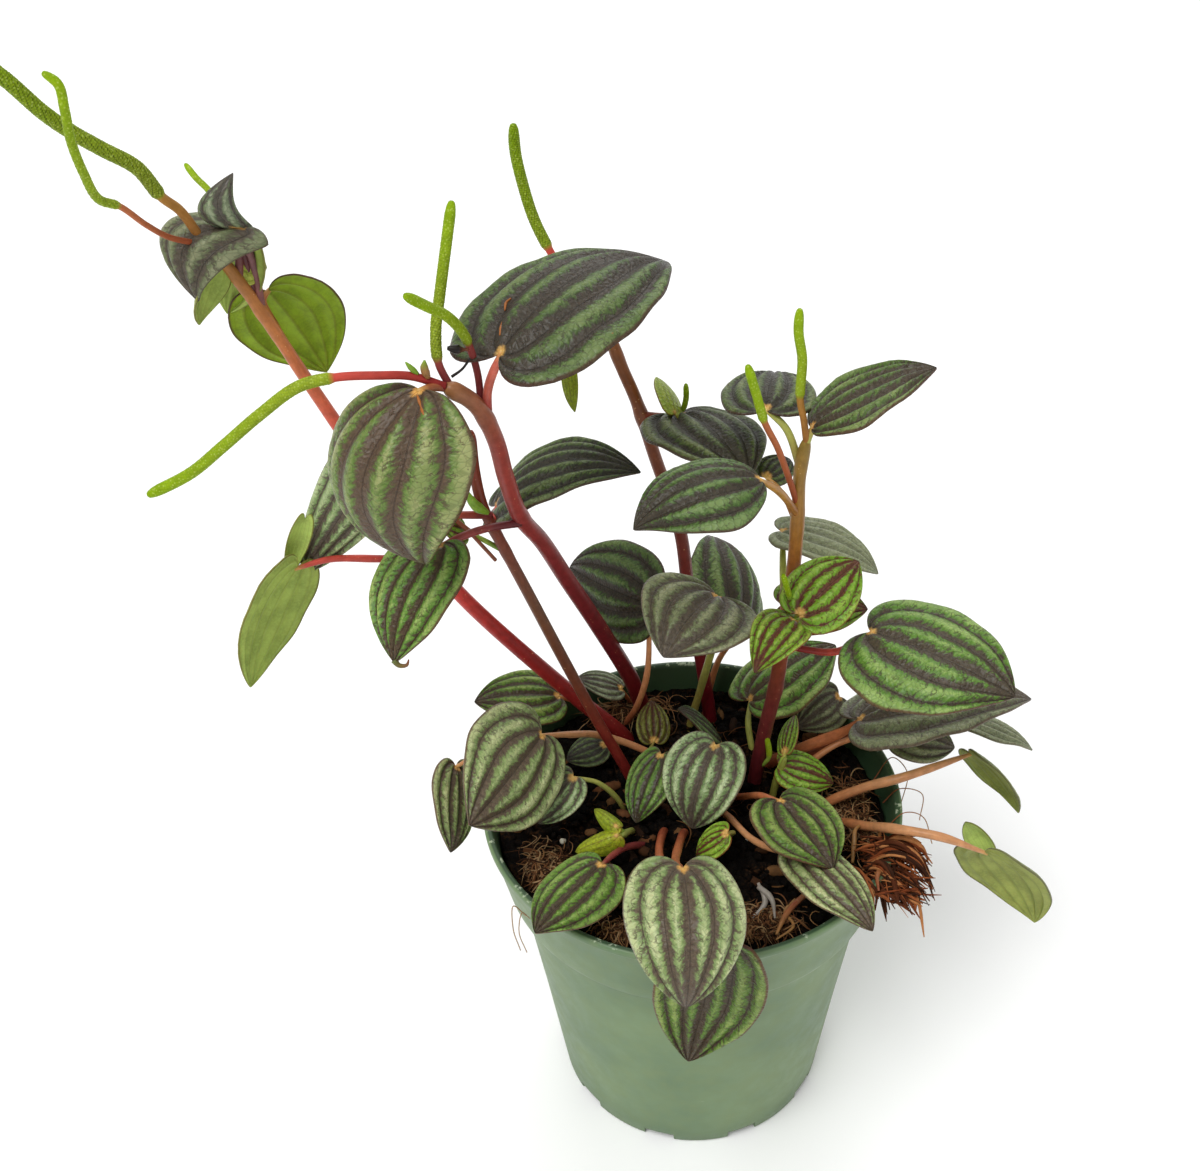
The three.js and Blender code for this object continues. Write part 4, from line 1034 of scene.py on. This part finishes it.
def soil_height(x, y):
    r = np.hypot(x, y) / SOIL_RADIUS
    lumps = 0.45 * np.sin(0.45 * x + 1.1) * np.cos(0.38 * y - 0.4) + 0.27 * np.sin(0.9 * y + 0.5 * x)
    return SOIL_TOP_Z - SOIL_EDGE_DROP * r * r + lumps


def mix_body(name):
    rings = [circle(r, z, MIX_SEGMENTS) for r, z in MIX_WALL]
    for k in range(MIX_RINGS, 0, -1):
        ring = circle(SOIL_RADIUS * MIX_OVERLAP * k / MIX_RINGS, 0, MIX_SEGMENTS)
        x, y = ring[:, 0], ring[:, 1]
        rough = [
            SOIL_ROUGHNESS * noise.fractal(Vector((a * 0.3, b * 0.3, 3.1)), 0.7, 2.1, 6) for a, b in zip(x, y)
        ]
        ring[:, 2] = soil_height(x, y) - MIX_SINK + np.array(rough)
        rings.append(ring)
    piece = Piece()
    piece.add(*closed_rings(rings, (0, 0, MIX_WALL[0][1]), (0, 0, SOIL_TOP_Z)))
    piece.make(name, [mix], ["potting_mix"])


def ball(rings=5, sides=8):
    points = [(0, 0, -1)]
    for i in range(1, rings):
        a = math.pi * i / rings
        for j in range(sides):
            turn = 2 * math.pi * j / sides
            points.append((math.sin(a) * math.cos(turn), math.sin(a) * math.sin(turn), -math.cos(a)))
    points.append((0, 0, 1))
    return np.array(points), ring_faces(rings - 1, sides, 0, len(points) - 1, 1)


def crumbs(name, material, count, sizes, seed, stretch=1.0, tints=()):
    """Scattered lumps half sunk in the mix."""
    draw = random.Random(seed)
    piece = Piece()
    shape, faces = ball()
    for _ in range(count):
        r, angle = CRUMB_REACH * math.sqrt(draw.random()), draw.uniform(0, 2 * math.pi)
        x, y = r * math.cos(angle), r * math.sin(angle)
        size = draw.uniform(*sizes) / 2
        turn = Matrix.Rotation(draw.uniform(0, 6.28), 3, "Z")
        turn = turn @ Matrix.Rotation(draw.uniform(-0.5, 0.5), 3, "X")
        body = shape * (size * draw.uniform(1, stretch), size, size * draw.uniform(0.6, 0.9))
        body = body * np.array([[draw.uniform(0.8, 1.2)] for _ in shape])
        body = body @ np.array(turn).T
        tint = draw.choice(tints) if tints else (0, 0, 0)
        place = (x, y, soil_height(x, y) + size * draw.uniform(0.0, 0.35))
        piece.add(body + place, faces, tint=tint)
    piece.make(name, [material])


def coir(name, middle, reach, fibres, seed, replaces=(), lengths=(7, 17), lift=0.5, tints=COIR_TINTS):
    """A tuft of fine curled fibres that cross near its middle."""
    draw = random.Random(seed)
    piece = Piece()
    for _ in range(fibres):
        angle = draw.uniform(0, 2 * math.pi)
        length = draw.uniform(*lengths)
        x, y = (m + draw.gauss(0, r * TUFT_SPREAD) for m, r in zip(middle, reach))
        if math.hypot(x, y) > COIR_REACH:
            continue
        lowest = soil_height(x, y) + lift - FIBRE_SINK
        bend = draw.uniform(-1.2, 1.2)
        rise = draw.uniform(0.0, 2.6)
        line = []
        for k in np.linspace(-0.5, 0.5, 5):
            turn = angle + bend * k * 2
            px, py = x + k * length * math.cos(turn), y + k * length * math.sin(turn)
            pz = soil_height(px, py) + lift + rise * (1 - 3 * k * k) + draw.uniform(-0.3, 0.5)
            line.append((px, py, max(pz, lowest)))
        radius = draw.uniform(0.06, 0.2)
        points = curve(line, FIBRE_PITCH)
        taper = np.interp(np.linspace(0, 1, len(points)), [0, 0.2, 0.8, 1], [0.4, 1, 1, 0.3])
        tube(piece, points, radius * taper, FIBRE_SIDES, draw.choice(tints))
    piece.make(name, [fibre], replaces)


def splinters(name, middle, reach, count, seed, replaces):
    """Bark-like slivers that lean out over the rim."""
    draw = random.Random(seed)
    piece = Piece()
    for _ in range(count):
        start = np.array([m + r * draw.uniform(-1, 1) for m, r in zip(middle, reach)])
        turn, length = math.radians(draw.uniform(-100, 20)), draw.uniform(3, 11)
        out = np.array((math.cos(turn), math.sin(turn), 0)) * length
        sag = (0, 0, -0.35 * length * draw.uniform(-0.5, 1))
        hump = (0, 0, draw.uniform(0, 1.2))
        line = curve([start - 0.4 * out, start + hump, start + 0.6 * out + sag], FIBRE_PITCH)
        tint = draw.choice(RIM_TINTS)
        taper = spread([0.5, 1, 0.9, 0.3], len(line)) * draw.uniform(0.15, 0.9)
        flat = 1 - 0.6 * np.abs(np.sin(np.arange(SPLINTER_SIDES) * 2 * math.pi / SPLINTER_SIDES))
        tube(piece, line, taper[:, None] * flat, SPLINTER_SIDES, tint)
    piece.make(name, [fibre], replaces)


def straps(name, paths, fibres, seed):
    """Torn strips of husk, each a bundle of fibres along one path."""
    draw = random.Random(seed)
    piece = Piece()
    for path in paths:
        for _ in range(fibres):
            last = draw.uniform(0.6, 1)
            moved = [np.array(p) + [draw.uniform(-0.9, 0.9) for _ in range(3)] for p in path]
            line = curve(moved, STRAP_PITCH)
            line = line[:max(4, int(last * len(line)))]
            tint = draw.choice(RIM_TINTS)
            radii = spread([0.7, 1, 0.9, 0.3], len(line)) * draw.uniform(0.25, 0.6)
            tube(piece, line, radii, STRAP_SIDES, tint)
    piece.make(name, [fibre])


def twigs(name, rows):
    piece = Piece()
    for diameters, tints, path in rows:
        line = curve(path, TWIG_PITCH)
        tube(piece, line, spread(diameters, len(line)) / 2, TWIG_SIDES, spread(tints, len(line)))
    piece.make(name, [skin])


STRAPS = [
    [(42.8, -19.5, 93.5), (47, -21.5, 96.8), (51.5, -24, 95), (56, -28, 86.5)],
    [(40.2, -23.2, 93.5), (45.5, -25, 96.8), (51, -27, 95), (56.5, -29, 84.5)],
    [(39.3, -25.7, 93.5), (42.3, -28.6, 96.8), (44.5, -31, 94.5), (45, -33, 87)],
    [(44.9, -18, 93.5), (48.5, -20, 97), (52, -22, 95.8), (56, -24, 90)],
    [(36, -26, 93), (37.5, -31, 96.6), (39.5, -34.5, 95), (40, -36.5, 89)],
]
TWIGS = [
    # diameters along the path, colours from its foot to its end, path
    ([0.5, 0.5, 0.6], [CHAR], [(-42.7, -13, 224.7), (-44.4, -13.4, 222.7), (-46.5, -13.6, 221.3)]),
    ([0.6, 0.7, 1.9, 1.5, 0.7], [RUST, CHAR, CHAR], [(-43, -12, 226), (-44.6, -12.6, 226.4),
        (-46.8, -13, 227)]),
    ([1, 1.7, 1.5, 0.4], [TAN, TAN, LIME], [(-50.9, -14, 221.5), (-51.4, -14, 223.4), (-51.2, -14, 225.2)]),
    ([0.6, 1.2, 1, 0.3], [LIME], [(-52.7, -14, 222.4), (-53.8, -14, 223.6), (-54.8, -14, 225)]),
    ([0.8, 1.3, 1.2, 0.3], [LIME], [(-39.3, -3, 197), (-39.7, -4, 199.5), (-39.4, -4, 203.5)]),
    ([1, 2.4, 2, 0.3], [LIME], [(-44, 5, 178), (-46, 3, 181), (-47, 2, 183.5), (-47.9, 2, 186.5)]),
    ([1.8, 1.8, 1.6], [WINE, BUD_RED], [(-43.2, 6, 176.7), (-47, 5, 177.6), (-51.7, 4, 178.5)]),
    ([0.9, 0.9, 0.8], [RUST], [(-43.5, 7.4, 163.6), (-46, 7, 167.8), (-48.1, 7, 171)]),
    ([1.2, 1.1, 1], [RUST], [(-47.9, 7, 171.3), (-56.6, 8, 180.1), (-62.5, 10, 186.8)]),
    ([1.3, 1.2, 1], [PLUM], [(-87, 12, 229.3), (-87.4, 12, 236.7), (-88, 12, 242.3)]),
    ([0.3, 0.7, 0.3], [SCAR], [(-37.2, -7, 226.2), (-36.8, -3.1, 227)]),
    ([0.3, 0.6, 0.3], [SCAR], [(-36.3, 0, 228), (-36, 2.3, 228.6), (-35.1, 3.2, 229)]),
    ([0.3, 0.6, 0.3, 0.6, 0.2], [SCAR], [(-19.3, -13.6, 228), (-17.5, -13.5, 228.4), (-15.6, -13.6, 228.8)]),
    ([0.3, 0.7, 0.4, 0.8, 0.3], [SCAR], [(-52.9, -17.6, 219.9), (-52.3, -19.3, 218.8),
        (-51.5, -22.1, 218.1)]),
    ([1.5, 1.1, 0.8, 0.3], [BUD_GREEN, RUST], [(-65, -18, 156.6), (-64, -18.4, 155.4), (-62.4, -18.4, 155.4),
        (-61.8, -18.3, 156.8)]),
    ([0.5, 0.9, 1.5, 0.7], [SILVER], [(8.9, -37.6, 89), (14.6, -33.7, 92), (13.4, -29.8, 94.5)]),
    ([1.3, 1.5, 0.9, 0.4], [SILVER], [(13.4, -30.5, 94), (16, -33.8, 93.4), (16.6, -37.5, 90)]),
    ([1.8, 1.3, 1.5, 0.6], [TAN, RUST, TAN], [(27, -29, 90), (24.7, -31.3, 91.8), (19.3, -37, 92),
        (16.2, -42, 90.6)]),
    ([0.6, 0.9, 0.7, 0.4], [TAN], [(22, -31, 89.6), (19, -36, 91), (20.4, -40, 91), (16, -43, 90)]),
    ([0.7, 1.3, 1, 0.5], [TAN], [(37.2, -21, 90), (38, -17.5, 93), (38.6, -14.8, 94.6), (41, -12, 94)]),
    ([0.6, 1.4, 1.2, 0.5], [TAN, RUST], [(43.6, -22, 93), (42.6, -27, 95), (40.7, -31.4, 96.4),
        (40.4, -35, 96)]),
    ([0.25, 0.25], [TAN], [(-41, -33, 90.5), (-43.6, -34.6, 95.8), (-44, -36, 90), (-43, -34.4, 80)]),
    ([0.22, 0.22], [TAN], [(-40, -34, 90.5), (-41.6, -37, 96), (-42.4, -39, 92), (-41, -40, 86)]),
    ([0.28, 0.24], [RUST, TAN], [(47, 6, 90.5), (51.8, 8, 96.4), (55.5, 6, 93), (54, 3, 84)]),
    ([0.28, 0.24], [RUST, TAN], [(46, -12, 90.5), (50.8, -12, 97), (56, -11, 94), (58, -14, 88)]),
    ([0.28, 0.24], [RUST, TAN], [(48, -2, 90.5), (51.6, -3, 96.2), (57, -4, 95), (56, -8, 90)]),
]
EXTRA_BLADES = [
    Leaf("plain", "lime", [], (-93, 9, 236.5), (-97.5, 6, 225), 9, -60, cup=0.3, quilt=0.3),
    Leaf("plain", "lime", [], (-88.6, 12, 235), (-84, 14, 233), 8, -60, cup=0.2, quilt=0.3),
    Leaf("plain", "lime", [], (74.1, -8, 77.5), (67.6, -8, 88.6), 7, -70, cup=0.2, quilt=0.3),
    Leaf("plain", "lime", [], (-85.5, 12, 174), (-92.3, 12.5, 157), 5, -75, cup=0.3, quilt=0.3),
]

# ---- The object


def blades(name, rows, seed, replaces=()):
    """Blades with only the materials they use, each look's top and underside side by side."""
    looks = list(dict.fromkeys(row.look for row in rows))
    piece = Piece()
    for k, row in enumerate(rows):
        blade(piece, row, seed + k, 2 * looks.index(row.look))
    piece.make(name, [material for look in looks for material in leaf_looks[look]], replaces)


pot("pot_shell")
mix_body("mix_surface")
crumbs("mix_crumbs", mix, 1500, (0.8, 3), 11, 1.6)
crumbs("mix_bark", fibre, 90, (1.2, 3), 12, 3.0, BARK_TINTS)
crumbs("mix_perlite", fibre, 9, (1, 1.8), 14, 1.0, PERLITE_TINTS)
coir("mix_fibres", (0, 8), (75, 75), 100, 24, lengths=(4, 12), lift=0.3, tints=BARK_TINTS)
coir("coir_left_fibres", (-37, -19), (11, 14), 420, 21, ["coir_left"], (3, 9))
coir("coir_front_fibres", (13, -38), (15, 8), 380, 22, ["coir_front"], (3, 10))
coir("coir_small_fibres", (-21, -39), (10, 6), 200, 25, lengths=(3, 7))
coir("coir_right_fibres", (41, -6), (12, 24), 380, 26, lengths=(3, 10))
coir("coir_back_fibres", (-16, 39), (26, 10), 150, 27, lengths=(5, 14))
splinters("coir_rim_fibres", (46, -26, 92.5), (5, 9, 2.5), 240, 23, ["coir_over_rim"])
straps("coir_rim_straps", STRAPS, 9, 28)
blades("extra_blades", EXTRA_BLADES, 60)
twigs("twigs", TWIGS)

for seed, (name, row) in enumerate([*FLOWER_STEMS.items(), *SHOOTS.items()]):
    flowering = name in FLOWER_STEMS
    wood = Piece()
    stem(wood, row)
    for leaf in row.leaves:
        stalk(wood, leaf)
    wood.make(name + "_stalks", [skin], [name])
    if row.spikes:
        flowers = Piece()
        for k, line in enumerate(row.spikes):
            spike(flowers, line, k + seed)
        flowers.make(name + "_spikes", [spike_skin])
    blades(name + "_blades", row.leaves, 10 * seed + 1)

for seed, (name, row) in enumerate(ROSETTE_LEAVES.items()):
    wood = Piece()
    stalk(wood, row)
    slot = "grey_leaves" if name in GREY_NODES else "leaves"
    wood.make(name + "_stalk", [skin], [name])
    blades(name + "_blade", [row], 100 + 3 * seed, [name])

# ---- Floor, light and camera

FLOOR_REACH = 6


def floor():
    mesh = bpy.data.meshes.new("floor")
    corners = [(x * FLOOR_REACH, y * FLOOR_REACH, 0) for x, y in ((-1, -1), (1, -1), (1, 1), (-1, 1))]
    mesh.from_pydata(corners, [], [(0, 1, 2, 3)])
    paper = Shade("floor_paper", Specular_IOR_Level=0.1, Roughness=0.9, Base_Color=(0.98, 0.98, 0.98))
    mesh.materials.append(paper.material)
    link("floor", mesh)


def sun(name, come_from, strength, spread_degrees):
    """A soft light from far off, so that the floor stays evenly bright."""
    data = bpy.data.lights.new(name, "SUN")
    data.energy, data.angle = strength, math.radians(spread_degrees)
    thing = link(name, data)
    thing.rotation_mode = "QUATERNION"
    thing.rotation_quaternion = (-Vector(come_from)).to_track_quat("-Z", "Y")


def sky(strength):
    world = bpy.data.worlds.new("studio")
    world.use_nodes = True
    background = world.node_tree.nodes["Background"]
    background.inputs["Color"].default_value = (1, 1, 1, 1)
    background.inputs["Strength"].default_value = strength
    bpy.context.scene.world = world


def camera():
    data = bpy.data.cameras.new("camera")
    data.sensor_width, data.lens = SENSOR_MM, FOCAL_PX / IMAGE_WIDTH_PX * SENSOR_MM
    data.clip_start, data.clip_end = 0.01, 50
    thing = link("camera", data)
    tilt, roll = math.radians(CAMERA_ELEVATION), math.radians(CAMERA_ROLL)
    right, up = Vector((1, 0, 0)), Vector((0, math.sin(tilt), math.cos(tilt)))
    ahead = Vector((0, math.cos(tilt), -math.sin(tilt)))
    x = right * math.cos(roll) + up * math.sin(roll)
    y = up * math.cos(roll) - right * math.sin(roll)
    turn = Matrix((x, y, -ahead)).transposed()
    thing.matrix_world = Matrix.Translation(Vector(CAMERA_MM) * MM) @ turn.to_4x4()
    bpy.context.scene.camera = thing


floor()
sky(0.4)
sun("key", (-0.45, -0.55, 1.2), 2.1, 34)
sun("fill", (0.9, -0.5, 0.9), 0.35, 70)
sun("back", (0.2, 1.0, 0.9), 0.9, 50)
camera()
bpy.context.scene.view_settings.view_transform = "Standard"
